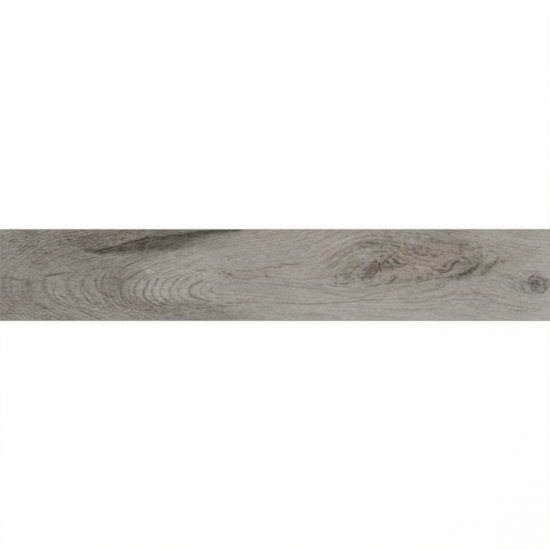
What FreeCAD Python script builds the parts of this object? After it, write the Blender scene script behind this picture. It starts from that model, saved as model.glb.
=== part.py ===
# Wood look porcelain plank tile: one dry-pressed, fired and edge-ground piece, lying face up.
# The face is towards +Z, the length runs along X, and the ribs of the back stand on Z = 0.
# The origin is the centre of the back. Sizes are millimetres, and slopes are degrees.
import FreeCAD, Part
import os
import Sketcher

# The driving dimensions: each one's name, value and meaning on the tile
DRIVING = {
    "plank_length": (1200.0, "ground length over the two short edges"),
    "plank_width": (200.0, "ground width over the two long edges"),
    "plank_thickness": (9.0, "from the face to the plane of the back's ribs"),
    "face_bevel": (0.8, "leg of the 45 degree arris ground round the face"),
    "back_bevel": (0.5, "leg of the 45 degree arris ground round the back"),
    "border_width": (9.0, "plain rim between the ground edge and the keying cells"),
    "cell_columns": (38, "keying cells along the length"),
    "cell_rows": (6, "keying cells across the width"),
    "rib_width": (4.0, "rib left between two cells, where it meets the mortar"),
    "cell_depth": (0.8, "depth that the punch presses a cell into the back"),
    "cell_corner": (4.0, "leg of the 45 degree cut at each corner of a cell"),
    "cell_slope": (35.0, "draft of a cell's walls from the pressing direction"),
}
SHEET = "sizes"
NODE = "plank_tile"
VOLUME_TOLERANCE = 1e-6


def drawn(name):
    """The value of a driving dimension, for drawing a sketch before it is dimensioned."""
    return DRIVING[name][0]


def bound(formula):
    """An expression on the sheet, from a formula that names driving dimensions."""
    for name in DRIVING:
        formula = formula.replace(name, f"{SHEET}.{name}")
    return formula


def span_of_cell(overall, count):
    """Formula for one cell's side: what the rims and ribs leave, shared by the cells."""
    return f"({overall} - 2*border_width - ({count} - 1)*rib_width) / {count}"


def reach_of_cells(overall, count):
    """Formula for the distance from the first cell to the last one, like side to like side."""
    return f"({count} - 1) * ({span_of_cell(overall, count)} + rib_width)"


def make_sheet(doc):
    """Lists the driving dimensions in a spreadsheet, each in a cell with its own name."""
    sheet = doc.addObject("Spreadsheet::Sheet", SHEET)
    for row, (name, (value, meaning)) in enumerate(DRIVING.items(), start=1):
        sheet.set(f"A{row}", name)
        sheet.set(f"B{row}", str(value))
        sheet.setAlias(f"B{row}", name)
        sheet.set(f"C{row}", meaning)
    doc.recompute()


def sketch_on_back(body, name):
    """A sketch on the plane of the back's ribs."""
    sketch = body.newObject("Sketcher::SketchObject", name)
    plane = next(part for part in body.Origin.OriginFeatures if part.Role == "XY_Plane")
    sketch.AttachmentSupport = [(plane, "")]
    sketch.MapMode = "FlatFace"
    return sketch


def dimension(sketch, kind, places, name, formula):
    """Dimensions the sketch as it is drawn, then ties the dimension to the sheet."""
    across = sketch.getPoint(*places[2:]) - sketch.getPoint(*places[:2])
    present = across.x if kind == "DistanceX" else across.y
    index = sketch.addConstraint(Sketcher.Constraint(kind, *places, present))
    sketch.renameConstraint(index, name)
    sketch.setExpression(f"Constraints.{name}", bound(formula))


def draw_blank(body):
    """The plank's outline: a rectangle about the origin."""
    sketch = sketch_on_back(body, "blank_outline")
    x, y = drawn("plank_length") / 2, drawn("plank_width") / 2
    corners = [FreeCAD.Vector(*at, 0) for at in ((-x, -y), (x, -y), (x, y), (-x, y))]
    for i in range(4):
        sketch.addGeometry(Part.LineSegment(corners[i], corners[(i + 1) % 4]))
    for i in range(4):
        sketch.addConstraint(Sketcher.Constraint("Coincident", i, 2, (i + 1) % 4, 1))
        sketch.addConstraint(Sketcher.Constraint(("Horizontal", "Vertical")[i % 2], i))
    dimension(sketch, "DistanceX", (0, 1, 0, 2), "length", "plank_length")
    dimension(sketch, "DistanceY", (1, 1, 1, 2), "width", "plank_width")
    dimension(sketch, "DistanceX", (0, 1, -1, 1), "left", "plank_length / 2")
    dimension(sketch, "DistanceY", (0, 1, -1, 1), "front", "plank_width / 2")
    return sketch


def draw_cell(body):
    """The outline of the first keying cell, at the back's low corner: its corners are cut."""
    sketch = sketch_on_back(body, "cell_outline")
    rim, cut = drawn("border_width"), drawn("cell_corner")
    x0, y0 = rim - drawn("plank_length") / 2, rim - drawn("plank_width") / 2
    x1 = x0 + (drawn("plank_length") - 2 * rim) / drawn("cell_columns")
    y1 = y0 + (drawn("plank_width") - 2 * rim) / drawn("cell_rows")
    around = [
        (x0 + cut, y0),
        (x1 - cut, y0),
        (x1, y0 + cut),
        (x1, y1 - cut),
        (x1 - cut, y1),
        (x0 + cut, y1),
        (x0, y1 - cut),
        (x0, y0 + cut),
    ]
    corners = [FreeCAD.Vector(x, y, 0) for x, y in around]
    lines = range(len(corners))
    for i in lines:
        sketch.addGeometry(Part.LineSegment(corners[i], corners[(i + 1) % len(corners)]))
    for i in lines:
        following = (i + 1) % len(corners)
        sketch.addConstraint(Sketcher.Constraint("Coincident", i, 2, following, 1))
    front, right, back, left = lines[0::2]
    for side in (front, back):
        sketch.addConstraint(Sketcher.Constraint("Horizontal", side))
    for side in (right, left):
        sketch.addConstraint(Sketcher.Constraint("Vertical", side))
    for line in lines[1::2]:
        low_x, high_x = sorted((1, 2), key=lambda end: sketch.getPoint(line, end).x)
        low_y, high_y = sorted((1, 2), key=lambda end: sketch.getPoint(line, end).y)
        dimension(sketch, "DistanceX", (line, low_x, line, high_x), f"cut_x{line}", "cell_corner")
        dimension(sketch, "DistanceY", (line, low_y, line, high_y), f"cut_y{line}", "cell_corner")
    along = span_of_cell("plank_length", "cell_columns")
    dimension(sketch, "DistanceX", (left, 1, right, 1), "along", along)
    across = span_of_cell("plank_width", "cell_rows")
    dimension(sketch, "DistanceY", (front, 1, back, 1), "across", across)
    dimension(sketch, "DistanceX", (left, 1, -1, 1), "inset_x", "plank_length/2 - border_width")
    dimension(sketch, "DistanceY", (front, 1, -1, 1), "inset_y", "plank_width/2 - border_width")
    return sketch


def press_blank(body):
    """The pressed blank at its ground size, before its arrises are taken off."""
    blank = body.newObject("PartDesign::Pad", "blank")
    blank.Profile = draw_blank(body)
    blank.setExpression("Length", bound("plank_thickness"))
    return blank


def edges_at(feature, height):
    """The names of the straight edges that lie in one level of a feature's shape."""
    box = [edge.BoundBox for edge in feature.Shape.Edges]
    return [f"Edge{i}" for i, b in enumerate(box, start=1) if b.ZMin == b.ZMax == height]


def grind_arris(body, feature, name, height, leg):
    """Bevels the four edges at one level of the blank."""
    bevel = body.newObject("PartDesign::Chamfer", name)
    bevel.Base = (feature, edges_at(feature, height))
    bevel.setExpression("Size", bound(leg))
    return bevel


def press_cells(body):
    """Presses the keying cells into the back: the first one, then its copies both ways."""
    sketch = draw_cell(body)
    cell = body.newObject("PartDesign::Pocket", "cell")
    cell.Profile = sketch
    cell.Reversed = True
    cell.setExpression("Length", bound("cell_depth"))
    cell.setExpression("TaperAngle", bound("-cell_slope"))
    cells = body.newObject("PartDesign::LinearPattern", "cells")
    cells.Originals = [cell]
    cells.Direction = (sketch, ["H_Axis"])
    cells.setExpression("Length", bound(reach_of_cells("plank_length", "cell_columns")))
    cells.setExpression("Occurrences", bound("cell_columns"))
    cells.Direction2 = (sketch, ["V_Axis"])
    cells.setExpression("Length2", bound(reach_of_cells("plank_width", "cell_rows")))
    cells.setExpression("Occurrences2", bound("cell_rows"))
    cells.Refine = False
    return cell, cells


def check(doc, bevelled, cell, cells):
    """Stops the script if a feature failed or if any cell is missing from the back."""
    failed = [thing.Name for thing in doc.Objects if {"Invalid", "Error"} & set(thing.State)]
    if failed:
        raise RuntimeError(f"these failed: {failed}")
    one = bevelled.Shape.Volume - cell.Shape.Volume
    all_cells = bevelled.Shape.Volume - cells.Shape.Volume
    wanted = one * drawn("cell_columns") * drawn("cell_rows")
    if one <= 0 or abs(all_cells - wanted) > VOLUME_TOLERANCE * wanted:
        raise RuntimeError(f"the cells take {all_cells:.1f} cubic mm, and not {wanted:.1f}")


def make_tile(doc):
    """The whole tile as one body."""
    body = doc.addObject("PartDesign::Body", NODE)
    body.Label = NODE
    blank = press_blank(body)
    doc.recompute()
    top = drawn("plank_thickness")
    face_arris = grind_arris(body, blank, "face_arris", top, "face_bevel")
    doc.recompute()
    back_arris = grind_arris(body, face_arris, "back_arris", 0.0, "back_bevel")
    cell, cells = press_cells(body)
    body.Tip = cells
    doc.recompute()
    check(doc, back_arris, cell, cells)
    return body


def write(body):
    """Writes the body's solid to its own file."""
    shape = body.Shape
    if shape.isNull() or not shape.isValid() or len(shape.Solids) != 1:
        raise RuntimeError(f"{body.Label} isn't one valid solid")
    os.makedirs("parts", exist_ok=True)
    shape.exportStep(os.path.join("parts", f"{body.Label}.step"))
    box = shape.BoundBox
    size = " x ".join(f"{side:g}" for side in (box.XLength, box.YLength, box.ZLength))
    print(f"{body.Label}: {size} mm, {shape.Volume:.0f} cubic mm")


document = FreeCAD.newDocument("plank")
make_sheet(document)
write(make_tile(document))
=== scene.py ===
"""Looks of the wood look porcelain plank: embossed face, oak print, ground edges, keyed back.

The tile lies face up on a pale floor and is seen from straight above. Lengths are in metres in
Blender. Places on the print are millimetres from the centre of the face, x to the right and y
up, as the camera sees it.
"""

import logging
import math
from dataclasses import dataclass
from enum import Enum

import bpy
import numpy as np
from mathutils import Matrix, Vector


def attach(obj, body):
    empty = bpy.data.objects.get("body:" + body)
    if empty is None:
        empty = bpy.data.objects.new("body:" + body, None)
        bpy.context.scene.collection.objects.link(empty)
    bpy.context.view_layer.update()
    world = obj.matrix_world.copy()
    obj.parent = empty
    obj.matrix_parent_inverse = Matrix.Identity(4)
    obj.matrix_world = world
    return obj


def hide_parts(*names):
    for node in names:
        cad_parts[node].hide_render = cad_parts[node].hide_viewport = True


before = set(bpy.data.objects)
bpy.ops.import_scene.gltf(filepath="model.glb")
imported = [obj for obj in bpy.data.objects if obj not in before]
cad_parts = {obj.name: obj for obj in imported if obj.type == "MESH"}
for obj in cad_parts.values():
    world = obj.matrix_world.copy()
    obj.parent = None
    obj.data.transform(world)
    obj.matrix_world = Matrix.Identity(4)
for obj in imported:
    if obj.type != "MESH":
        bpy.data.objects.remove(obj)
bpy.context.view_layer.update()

MM = 0.001
NODE = "plank_tile"
BODY = "root"
BAKE_MAP = "OFBake"

# Blender's names for the kinds of node that are used most
MATH = "ShaderNodeMath"
NOISE = "ShaderNodeTexNoise"
RANGE = "ShaderNodeMapRange"
MIX = "ShaderNodeMix"
# Colour inputs of a Mix node, which share their names with its number inputs
MIX_A, MIX_B = 6, 7
# How strongly fired glaze and porcelain bend light
IOR = 1.5

log = logging.getLogger("plank_tile")

Point = tuple[float, float]


class Layer(Enum):
    """What each vertex of the face tells the print's nodes."""

    GRAIN = "grain"
    RING = "ring"
    RING_INK = "ring_ink"
    FIBRE_INK = "fibre_ink"
    TONE = "tone"
    FIGURE = "figure"
    WARMTH = "warmth"
    SLATE = "slate"


# A material's noises by name, and what it reads from the vertices
Nodes = dict[str, bpy.types.Node]
Sockets = dict[Layer, bpy.types.NodeSocket]


class Tint(Enum):
    """Hues that the print's figures are drawn in."""

    UMBER = "umber"
    OLIVE = "olive"
    SLATE = "slate"


class Side(Enum):
    """Surfaces of the tile, in the order of its material slots."""

    FACE = 0
    EDGE = 1
    BACK = 2


@dataclass(frozen=True)
class Stroke:
    """One brushed mark of the print: a smooth line through given points."""

    points: tuple[Point, ...]
    width: float
    ink: float
    tint: Tint = Tint.UMBER


def umber(width: float, ink: float, *points: Point) -> Stroke:
    """A stroke in plain dark ink."""
    return Stroke(points, width, ink)


def olive(width: float, ink: float, *points: Point) -> Stroke:
    """A stroke in greenish brown ink."""
    return Stroke(points, width, ink, Tint.OLIVE)


def slate(width: float, ink: float, *points: Point) -> Stroke:
    """A stroke in bluish grey ink."""
    return Stroke(points, width, ink, Tint.SLATE)


@dataclass(frozen=True)
class Patch:
    """One soft airbrushed patch of the print: an ellipse that fades outwards."""

    x: float
    y: float
    reach_x: float
    reach_y: float
    tilt: float
    amount: float


# Places along the arches' axis, and its height there
ARCH_AXIS = ((-600, -20), (-469, -23), (-382, -26), (-316, -33), (-273, -35), (600, -35))
# Places along the length, and the pith's depth below the face there
ARCH_DEPTH = (
    (-687, 244.4), (-600, 209.5), (-556, 192.0), (-506, 165.8), (-480, 157.1), (-452, 148.4),
    (-417, 139.6), (-393, 130.9), (-375, 122.2), (-360, 113.5), (-343, 104.7), (-327, 96.0),
    (-312, 87.3), (-299, 78.5), (-281, 69.8), (-262, 61.1), (-244, 52.4), (-225, 43.6),
    (-185, 34.9), (-153, 26.2), (-135, 17.5), (-116, 8.7), (-87, 5.5), (709, 5.5),
)
# Heights over the arches' axis, and the ring radius there where the pith meets the face
RING_SPREAD = (
    (0.0, 0.0), (13.1, 15.3), (26.2, 34.9), (33.8, 43.6), (39.3, 56.7), (45.8, 69.8), (52.4, 85.1),
    (130.9, 178.9), (261.8, 327.3),
)
# Lines that the fibres follow, from the top: their heights at the same places along the length
FLOW_STATIONS = (
    -600, -469, -360, -273, -185, -98, -11, 76, 120, 164, 207, 251, 295, 338, 382, 425, 469, 513,
    556, 600,
)
FLOW_LINES = (
    (111, 111, 116, 129, 144, 157, 170, 177, 188, 196, 201, 199, 192, 185, 179, 175, 170, 166, 161,
     157),
    (68, 69, 75, 91, 104, 121, 140, 157, 168, 177, 181, 179, 172, 164, 157, 153, 148, 144, 140,
     135),
    (46, 46, 48, 60, 77, 95, 113, 135, 148, 157, 161, 159, 151, 142, 135, 131, 127, 122, 118, 113),
    (24, 24, 26, 39, 57, 73, 91, 112, 129, 137, 142, 137, 129, 118, 109, 103, 96, 89, 83, 79),
    (7, 7, 9, 15, 28, 45, 52, 69, 84, 99, 106, 104, 95, 85, 76, 69, 60, 52, 45, 39),
    (-7, -7, -7, -4, 7, 19, 19, 26, 45, 70, 80, 75, 63, 53, 49, 41, 31, 21, 21, 22),
    (-15, -15, -15, -15, -9, 4, 2, 2, 15, 50, 65, 61, 52, 44, 40, 35, 27, 16, 12, 12),
    (-24, -24, -24, -24, -20, -9, -12, -22, -27, -29, -26, -22, -16, -11, -4, 7, 19, 10, 3, 2),
    (-33, -33, -33, -33, -28, -22, -26, -35, -39, -40, -38, -34, -31, -25, -16, -9, -4, -20, -37,
     -35),
    (-39, -39, -39, -39, -37, -33, -38, -46, -49, -50, -51, -51, -50, -47, -41, -37, -39, -50, -59,
     -57),
    (-50, -50, -50, -50, -50, -48, -53, -60, -62, -63, -65, -65, -65, -64, -62, -62, -67, -74, -79,
     -77),
    (-65, -65, -65, -65, -65, -63, -68, -73, -75, -76, -79, -80, -81, -81, -81, -82, -85, -89, -92,
     -92),
    (-81, -81, -81, -81, -81, -79, -82, -85, -86, -87, -89, -91, -92, -92, -92, -94, -96, -100,
     -103, -103),
    (-100, -100, -100, -100, -100, -98, -100, -103, -103, -103, -105, -105, -107, -107, -109, -109,
     -111, -113, -116, -116),
)
# The print's brushed marks, by the figure that they belong to
STROKES = {
    "mineral_streak": (
        umber(8.3, 0.42, (-391, 51), (-373, 51), (-356, 52), (-338, 54), (-321, 56)),
        umber(13.5, 0.46, (-347, 53), (-325, 57), (-299, 61), (-277, 65)),
        umber(21.4, 0.48, (-308, 61), (-281, 64), (-251, 68), (-220, 71)),
        umber(20.9, 0.42, (-242, 72), (-216, 75), (-192, 79), (-170, 82)),
        umber(13.1, 0.44, (-199, 84), (-168, 88), (-142, 92)),
        umber(9.2, 0.42, (-155, 92), (-124, 95), (-94, 98), (-72, 99)),
        umber(4.1, 0.66, (-415, 53), (-408, 53), (-397, 53), (-384, 52)),
        umber(3.1, 0.24, (-395, 51), (-386, 48), (-373, 48), (-360, 48)),
        umber(2.8, 0.78, (-386, 52), (-377, 54), (-371, 56), (-360, 59), (-349, 61), (-338, 64),
            (-327, 68), (-314, 72), (-301, 75), (-288, 78), (-277, 81)),
        umber(3.5, 0.14, (-374, 55), (-369, 57), (-360, 58)),
        umber(3.7, 0.78, (-282, 87), (-279, 83), (-275, 80), (-270, 81)),
        umber(5.2, 0.5, (-275, 80), (-262, 82), (-247, 82), (-229, 84), (-214, 85), (-199, 87)),
        umber(3.9, 0.3, (-251, 78), (-229, 79), (-212, 78)),
        umber(5.5, 0.55, (-214, 85), (-194, 87), (-179, 90), (-164, 93), (-146, 94), (-129, 96),
            (-103, 98), (-70, 99)),
        umber(4.4, 0.1, (-340, 53), (-325, 53), (-312, 56)),
        umber(4.8, 0.25, (-308, 67), (-295, 69), (-281, 68)),
        umber(5.2, 0.2, (-288, 72), (-277, 72)),
        umber(3.7, 0.34, (-277, 59), (-257, 62), (-238, 62), (-216, 62), (-196, 66)),
        umber(4.8, 0.35, (-260, 66), (-251, 69)),
        umber(3.3, 0.3, (-257, 55), (-238, 55), (-220, 57), (-203, 61)),
        umber(3.5, 0.42, (-301, 96), (-292, 96), (-282, 96)),
    ),
    "checks": (
        umber(3.1, 0.5, (-542, -23), (-537, -21), (-531, -21)),
        umber(2.2, 0.22, (-515, -2), (-504, -2), (-493, -1)),
        umber(2.1, 0.57, (-496, -2), (-491, -1), (-482, 1), (-476, 2), (-469, 2), (-463, 3)),
        umber(2.2, 0.31, (-465, 4), (-452, 5), (-441, 5), (-428, 6)),
        umber(2.0, 0.22, (-418, 7), (-404, 8)),
        umber(2.0, 0.31, (-600, -5), (-583, -6), (-563, -6)),
        umber(2.4, 0.34, (-580, -10), (-561, -10), (-538, -10)),
        umber(5.7, 0.26, (-547, -18), (-539, -17), (-531, -18)),
        umber(3.1, 0.19, (-548, -23), (-537, -22)),
        umber(3.7, 0.5, (-483, -33), (-480, -33)),
        umber(3.5, 0.14, (-483, -17), (-482, -25)),
        umber(2.0, 0.28, (-399, 14), (-382, 14), (-360, 15)),
        umber(4.4, 0.26, (-512, -72), (-504, -71), (-493, -72)),
        umber(3.3, 0.31, (-430, 81), (-412, 82), (-395, 82), (-380, 82)),
        umber(3.1, 0.31, (-475, 66), (-465, 67), (-453, 67)),
        umber(3.5, 0.22, (-458, 79), (-449, 78), (-441, 77)),
        umber(2.8, 0.26, (-583, 73), (-566, 73)),
        umber(2.4, 0.31, (-549, 61), (-532, 62), (-515, 61)),
        umber(2.6, 0.22, (-560, 54), (-541, 55)),
        umber(2.6, 0.25, (-600, 43), (-583, 43)),
        umber(3.5, 0.19, (-552, 81), (-545, 79), (-539, 80)),
        umber(2.2, 0.25, (-471, -44), (-463, -48), (-453, -53)),
        umber(2.2, 0.19, (-373, 62), (-356, 69), (-343, 70)),
        umber(2.4, 0.25, (-395, 74), (-373, 76), (-356, 78), (-325, 80)),
        umber(2.6, 0.19, (-391, 85), (-360, 87), (-334, 88)),
        umber(3.1, 0.15, (-425, 66), (-412, 63), (-399, 60)),
        umber(2.2, 0.15, (-360, 41), (-343, 44), (-325, 45)),
    ),
    "arches": (
        olive(6.1, 0.14, (-499, -5), (-504, -12), (-506, -21), (-504, -31), (-499, -39),
            (-490, -46)),
        olive(3.1, 0.11, (-475, -9), (-479, -16), (-480, -23), (-477, -33)),
        umber(2.2, 0.16, (-516, -34), (-507, -44), (-497, -51)),
        umber(2.2, 0.16, (-494, -40), (-484, -49), (-475, -57)),
        olive(5.2, 0.18, (-444, -5), (-451, -12), (-453, -21), (-451, -29), (-445, -37),
            (-435, -43)),
        olive(3.1, 0.1, (-429, -9), (-434, -15), (-435, -23), (-432, -32)),
        olive(4.1, 0.22, (-411, -8), (-416, -13), (-418, -21), (-416, -29), (-409, -36),
            (-400, -42), (-389, -47)),
        olive(3.5, 0.27, (-379, 5), (-386, -2), (-389, -10), (-390, -19), (-389, -27),
            (-383, -35), (-374, -40)),
        olive(3.9, 0.29, (-365, 4), (-372, -2), (-375, -11), (-377, -21), (-376, -29),
            (-373, -37), (-368, -44), (-359, -49)),
        umber(4.8, 0.14, (-352, 8), (-359, -3), (-363, -14), (-365, -25), (-364, -36),
            (-359, -45), (-350, -51)),
        umber(7.4, 0.16, (-344, -1), (-350, -12), (-353, -23), (-352, -34), (-347, -43)),
        olive(5.7, 0.24, (-337, -5), (-340, -12), (-341, -21), (-341, -32)),
        umber(3.5, 0.37, (-283, 13), (-291, 9), (-300, 4), (-307, -1), (-314, -5), (-321, -9),
            (-327, -11), (-332, -17), (-334, -25), (-335, -36), (-333, -46), (-327, -53),
            (-317, -59), (-307, -64)),
        umber(2.8, 0.27, (-294, 33), (-304, 29), (-315, 24), (-325, 18), (-334, 12), (-344, 3)),
        olive(3.1, 0.19, (-280, 5), (-296, -2), (-307, -9), (-314, -16), (-318, -25), (-319, -34),
            (-317, -43), (-310, -51), (-300, -59)),
        umber(3.3, 0.34, (-272, 2), (-285, -4), (-294, -11), (-301, -19), (-305, -27),
            (-306, -37), (-303, -46), (-296, -54), (-287, -61), (-274, -68), (-261, -72)),
        umber(4.4, 0.22, (-320, -50), (-310, -56), (-298, -63)),
        olive(2.8, 0.21, (-250, 6), (-265, 0), (-278, -7), (-287, -13)),
        umber(3.7, 0.45, (-269, -9), (-276, -15), (-279, -22), (-283, -29), (-286, -36),
            (-286, -44), (-282, -51), (-276, -57), (-268, -62), (-259, -65), (-245, -69)),
        umber(3.7, 0.36, (-252, -7), (-258, -13), (-261, -20), (-266, -27), (-268, -36),
            (-267, -43), (-263, -50), (-258, -56), (-251, -60), (-242, -63), (-228, -67)),
        umber(3.1, 0.27, (-229, -6), (-237, -12), (-243, -20), (-248, -29), (-250, -37),
            (-248, -46), (-242, -52), (-235, -57), (-226, -60), (-211, -64)),
        umber(3.3, 0.32, (-206, -6), (-215, -12), (-221, -19), (-226, -26), (-229, -33),
            (-230, -40), (-227, -48), (-222, -53), (-214, -58), (-203, -62), (-184, -65)),
        umber(5.2, 0.19, (-184, -5), (-194, -11), (-203, -18), (-208, -25), (-211, -34),
            (-210, -43), (-204, -51), (-194, -57), (-180, -61), (-158, -64)),
        umber(3.5, 0.42, (-156, -11), (-165, -15), (-172, -19), (-179, -22), (-184, -27),
            (-187, -33), (-186, -39), (-182, -45), (-175, -49), (-166, -52), (-154, -55),
            (-136, -58)),
        olive(3.1, 0.19, (-132, -12), (-145, -15), (-155, -22), (-161, -29), (-162, -37),
            (-158, -43), (-149, -48), (-134, -50), (-110, -53)),
        umber(2.8, 0.16, (-119, -14), (-128, -19), (-134, -24), (-138, -29), (-139, -35),
            (-135, -39), (-128, -42), (-115, -43), (-93, -44)),
        umber(3.3, 0.22, (-150, -35), (-142, -36), (-134, -40)),
        umber(2.6, 0.24, (-115, -14), (-120, -21), (-121, -29), (-118, -33)),
        umber(2.6, 0.21, (-250, 25), (-228, 26), (-211, 30)),
        olive(2.4, 0.19, (-248, 2), (-235, 6), (-219, 11), (-202, 14), (-180, 18)),
        olive(2.4, 0.19, (-232, -8), (-215, -3), (-195, 1), (-176, 5)),
        olive(2.4, 0.18, (-200, -10), (-184, -5), (-165, -2), (-141, 1)),
        umber(2.6, 0.24, (-202, 21), (-189, 21), (-180, 25)),
        umber(2.6, 0.24, (-178, 10), (-163, 10), (-149, 11)),
        umber(4.8, 0.4, (-252, -59), (-243, -63), (-235, -66)),
        umber(3.5, 0.34, (-242, -50), (-235, -56), (-226, -60)),
        umber(3.9, 0.25, (-230, -65), (-221, -69), (-211, -72), (-200, -76)),
        umber(2.8, 0.18, (-200, -70), (-184, -72), (-163, -73)),
        umber(2.6, 0.12, (-171, -58), (-154, -61), (-130, -61), (-101, -61), (-71, -60)),
        umber(2.6, 0.18, (-184, -64), (-158, -67), (-132, -67), (-106, -66)),
        umber(2.6, 0.16, (-171, -73), (-149, -72), (-128, -73)),
        umber(2.8, 0.2, (-156, -77), (-132, -78), (-110, -77)),
        umber(2.8, 0.18, (-193, -81), (-167, -83), (-136, -82), (-101, -82)),
        umber(3.1, 0.24, (-224, -85), (-211, -88), (-197, -87)),
        umber(3.1, 0.21, (-250, -81), (-237, -82), (-224, -80)),
        olive(4.8, 0.24, (-280, -76), (-269, -79), (-256, -80)),
        umber(2.6, 0.19, (-372, -60), (-357, -63)),
        umber(2.6, 0.16, (-311, -62), (-289, -70), (-263, -76), (-228, -81), (-193, -85)),
        umber(2.6, 0.14, (-300, -59), (-285, -66), (-265, -71), (-237, -76), (-206, -79)),
        umber(2.6, 0.17, (-274, -68), (-254, -72), (-224, -76), (-189, -78)),
        umber(2.8, 0.18, (-250, -67), (-224, -73), (-189, -76), (-149, -77), (-110, -77)),
        umber(2.8, 0.18, (-232, -66), (-202, -70), (-171, -72), (-136, -72), (-97, -71)),
        umber(2.6, 0.16, (-215, -63), (-189, -67), (-158, -68), (-119, -68), (-75, -67)),
        umber(2.6, 0.16, (-171, -63), (-141, -64), (-106, -63), (-67, -62), (-27, -61)),
        umber(2.6, 0.16, (-141, -57), (-110, -59), (-75, -58), (-36, -57)),
        olive(2.4, 0.13, (-134, -50), (-110, -52), (-75, -53), (-40, -51)),
        umber(2.4, 0.12, (-389, -47), (-368, -55), (-341, -63), (-311, -71), (-276, -79),
            (-237, -85)),
        umber(2.4, 0.16, (-374, -40), (-355, -49), (-333, -58), (-307, -67)),
        umber(2.4, 0.11, (-424, -48), (-398, -58), (-368, -67), (-333, -75), (-293, -83)),
        umber(2.4, 0.11, (-475, -57), (-446, -67), (-411, -75), (-372, -83)),
        umber(2.4, 0.16, (-285, 13), (-263, 22), (-237, 30), (-206, 39), (-171, 48)),
        umber(2.4, 0.16, (-272, 2), (-250, 11), (-224, 19), (-193, 26), (-158, 32)),
        olive(2.4, 0.14, (-296, 33), (-276, 39), (-250, 47)),
        umber(2.4, 0.14, (-365, 4), (-352, 15), (-335, 25), (-313, 35), (-287, 44)),
        umber(2.4, 0.13, (-379, 5), (-363, 19), (-341, 30), (-315, 39)),
        olive(2.4, 0.13, (-411, -8), (-403, 5), (-387, 19), (-368, 30), (-341, 39)),
        olive(3.5, 0.08, (-568, -56), (-578, -25), (-568, 10), (-542, 36), (-507, 58), (-464, 73)),
        olive(3.5, 0.08, (-542, -56), (-552, -25), (-542, 8), (-516, 32), (-481, 51), (-433, 64)),
        olive(3.5, 0.07, (-525, -47), (-531, -23), (-525, 1), (-503, 21), (-472, 36), (-429, 49)),
        umber(2.6, 0.14, (-341, -55), (-328, -62), (-313, -69)),
        umber(2.6, 0.14, (-302, -67), (-287, -73), (-269, -77)),
        umber(2.4, 0.16, (-494, -37), (-484, -46), (-475, -53)),
        umber(2.4, 0.21, (-472, -44), (-460, -50), (-448, -55)),
        umber(2.4, 0.16, (-455, -37), (-444, -45), (-433, -50)),
        umber(2.4, 0.21, (-435, -47), (-425, -54), (-416, -60)),
        umber(2.4, 0.21, (-416, -48), (-406, -57), (-396, -64)),
        umber(2.4, 0.19, (-398, -49), (-388, -57), (-379, -63)),
        umber(2.4, 0.16, (-446, -57), (-433, -62), (-420, -66)),
        umber(2.4, 0.19, (-385, -57), (-374, -63), (-363, -68)),
        umber(2.4, 0.18, (-372, -53), (-359, -62), (-346, -69)),
        umber(2.4, 0.14, (-403, -63), (-389, -70), (-376, -74)),
        umber(2.4, 0.13, (-368, -68), (-352, -75), (-337, -80)),
        umber(2.4, 0.19, (-346, -61), (-333, -69), (-320, -75)),
        umber(2.4, 0.14, (-512, -44), (-503, -50), (-494, -55)),
        umber(2.4, 0.14, (-485, -57), (-475, -62), (-464, -66)),
        umber(2.4, 0.13, (-328, -67), (-313, -74), (-298, -79)),
        umber(2.4, 0.12, (-307, -73), (-291, -79), (-276, -83)),
        umber(2.4, 0.11, (-355, -76), (-339, -81), (-324, -85)),
        umber(2.4, 0.1, (-420, -70), (-405, -75), (-389, -80)),
    ),
    "twin_pin_knots": (
        umber(3.9, 0.46, (-123, 1), (-119, 2)),
        umber(2.4, 0.42, (-116, 8), (-110, 7), (-111, 2), (-109, -2)),
        olive(2.4, 0.3, (-106, 6), (-103, 3), (-103, -1)),
        olive(3.3, 0.46, (-98, 6), (-99, 3), (-98, -2)),
        umber(2.4, 0.3, (-96, 6), (-93, 3), (-94, -1), (-92, -2)),
        olive(3.5, 0.2, (-109, -6), (-103, -6)),
        olive(2.4, 0.22, (-94, -5), (-72, -9), (-50, -8), (-35, -3)),
        olive(2.4, 0.25, (-85, 8), (-63, 9), (-46, 7)),
        olive(3.3, 0.4, (-26, 7), (-20, 0), (-14, -8)),
        olive(2.6, 0.3, (-41, 12), (-28, 14), (-15, 17), (2, 18), (20, 20)),
        olive(2.8, 0.3, (11, 25), (33, 23), (55, 25)),
    ),
    "brow": (
        olive(5.2, 0.22, (177, 66), (188, 69), (201, 70)),
        olive(5.0, 0.4, (196, 71), (212, 70), (229, 69)),
        umber(2.8, 0.34, (206, 68), (217, 68)),
        umber(2.8, 0.42, (226, 68), (238, 67), (250, 66)),
        olive(2.6, 0.28, (231, 73), (247, 74), (260, 71)),
        umber(2.8, 0.42, (250, 68), (262, 63), (270, 60)),
        umber(4.8, 0.55, (267, 62), (273, 59)),
        umber(4.4, 0.4, (280, 69), (286, 67)),
        olive(5.2, 0.26, (277, 58), (284, 55), (290, 53), (299, 54)),
        umber(2.4, 0.26, (281, 62), (295, 57), (308, 54)),
        umber(2.4, 0.18, (284, 51), (292, 48), (305, 45)),
        umber(3.7, 0.55, (300, 59), (307, 56)),
        umber(5.2, 0.5, (302, 51), (309, 48), (311, 44)),
        olive(6.5, 0.24, (314, 65), (319, 60), (316, 52)),
        olive(6.1, 0.32, (331, 63), (333, 55), (329, 47)),
        olive(3.3, 0.36, (312, 43), (325, 44), (336, 43)),
        umber(3.1, 0.4, (335, 44), (345, 44), (357, 41)),
        umber(3.3, 0.36, (339, 39), (348, 39), (356, 38)),
        olive(2.6, 0.36, (182, 62), (195, 62)),
        olive(2.4, 0.16, (188, 80), (199, 81)),
        umber(2.8, 0.3, (242, 82), (257, 81)),
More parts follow.
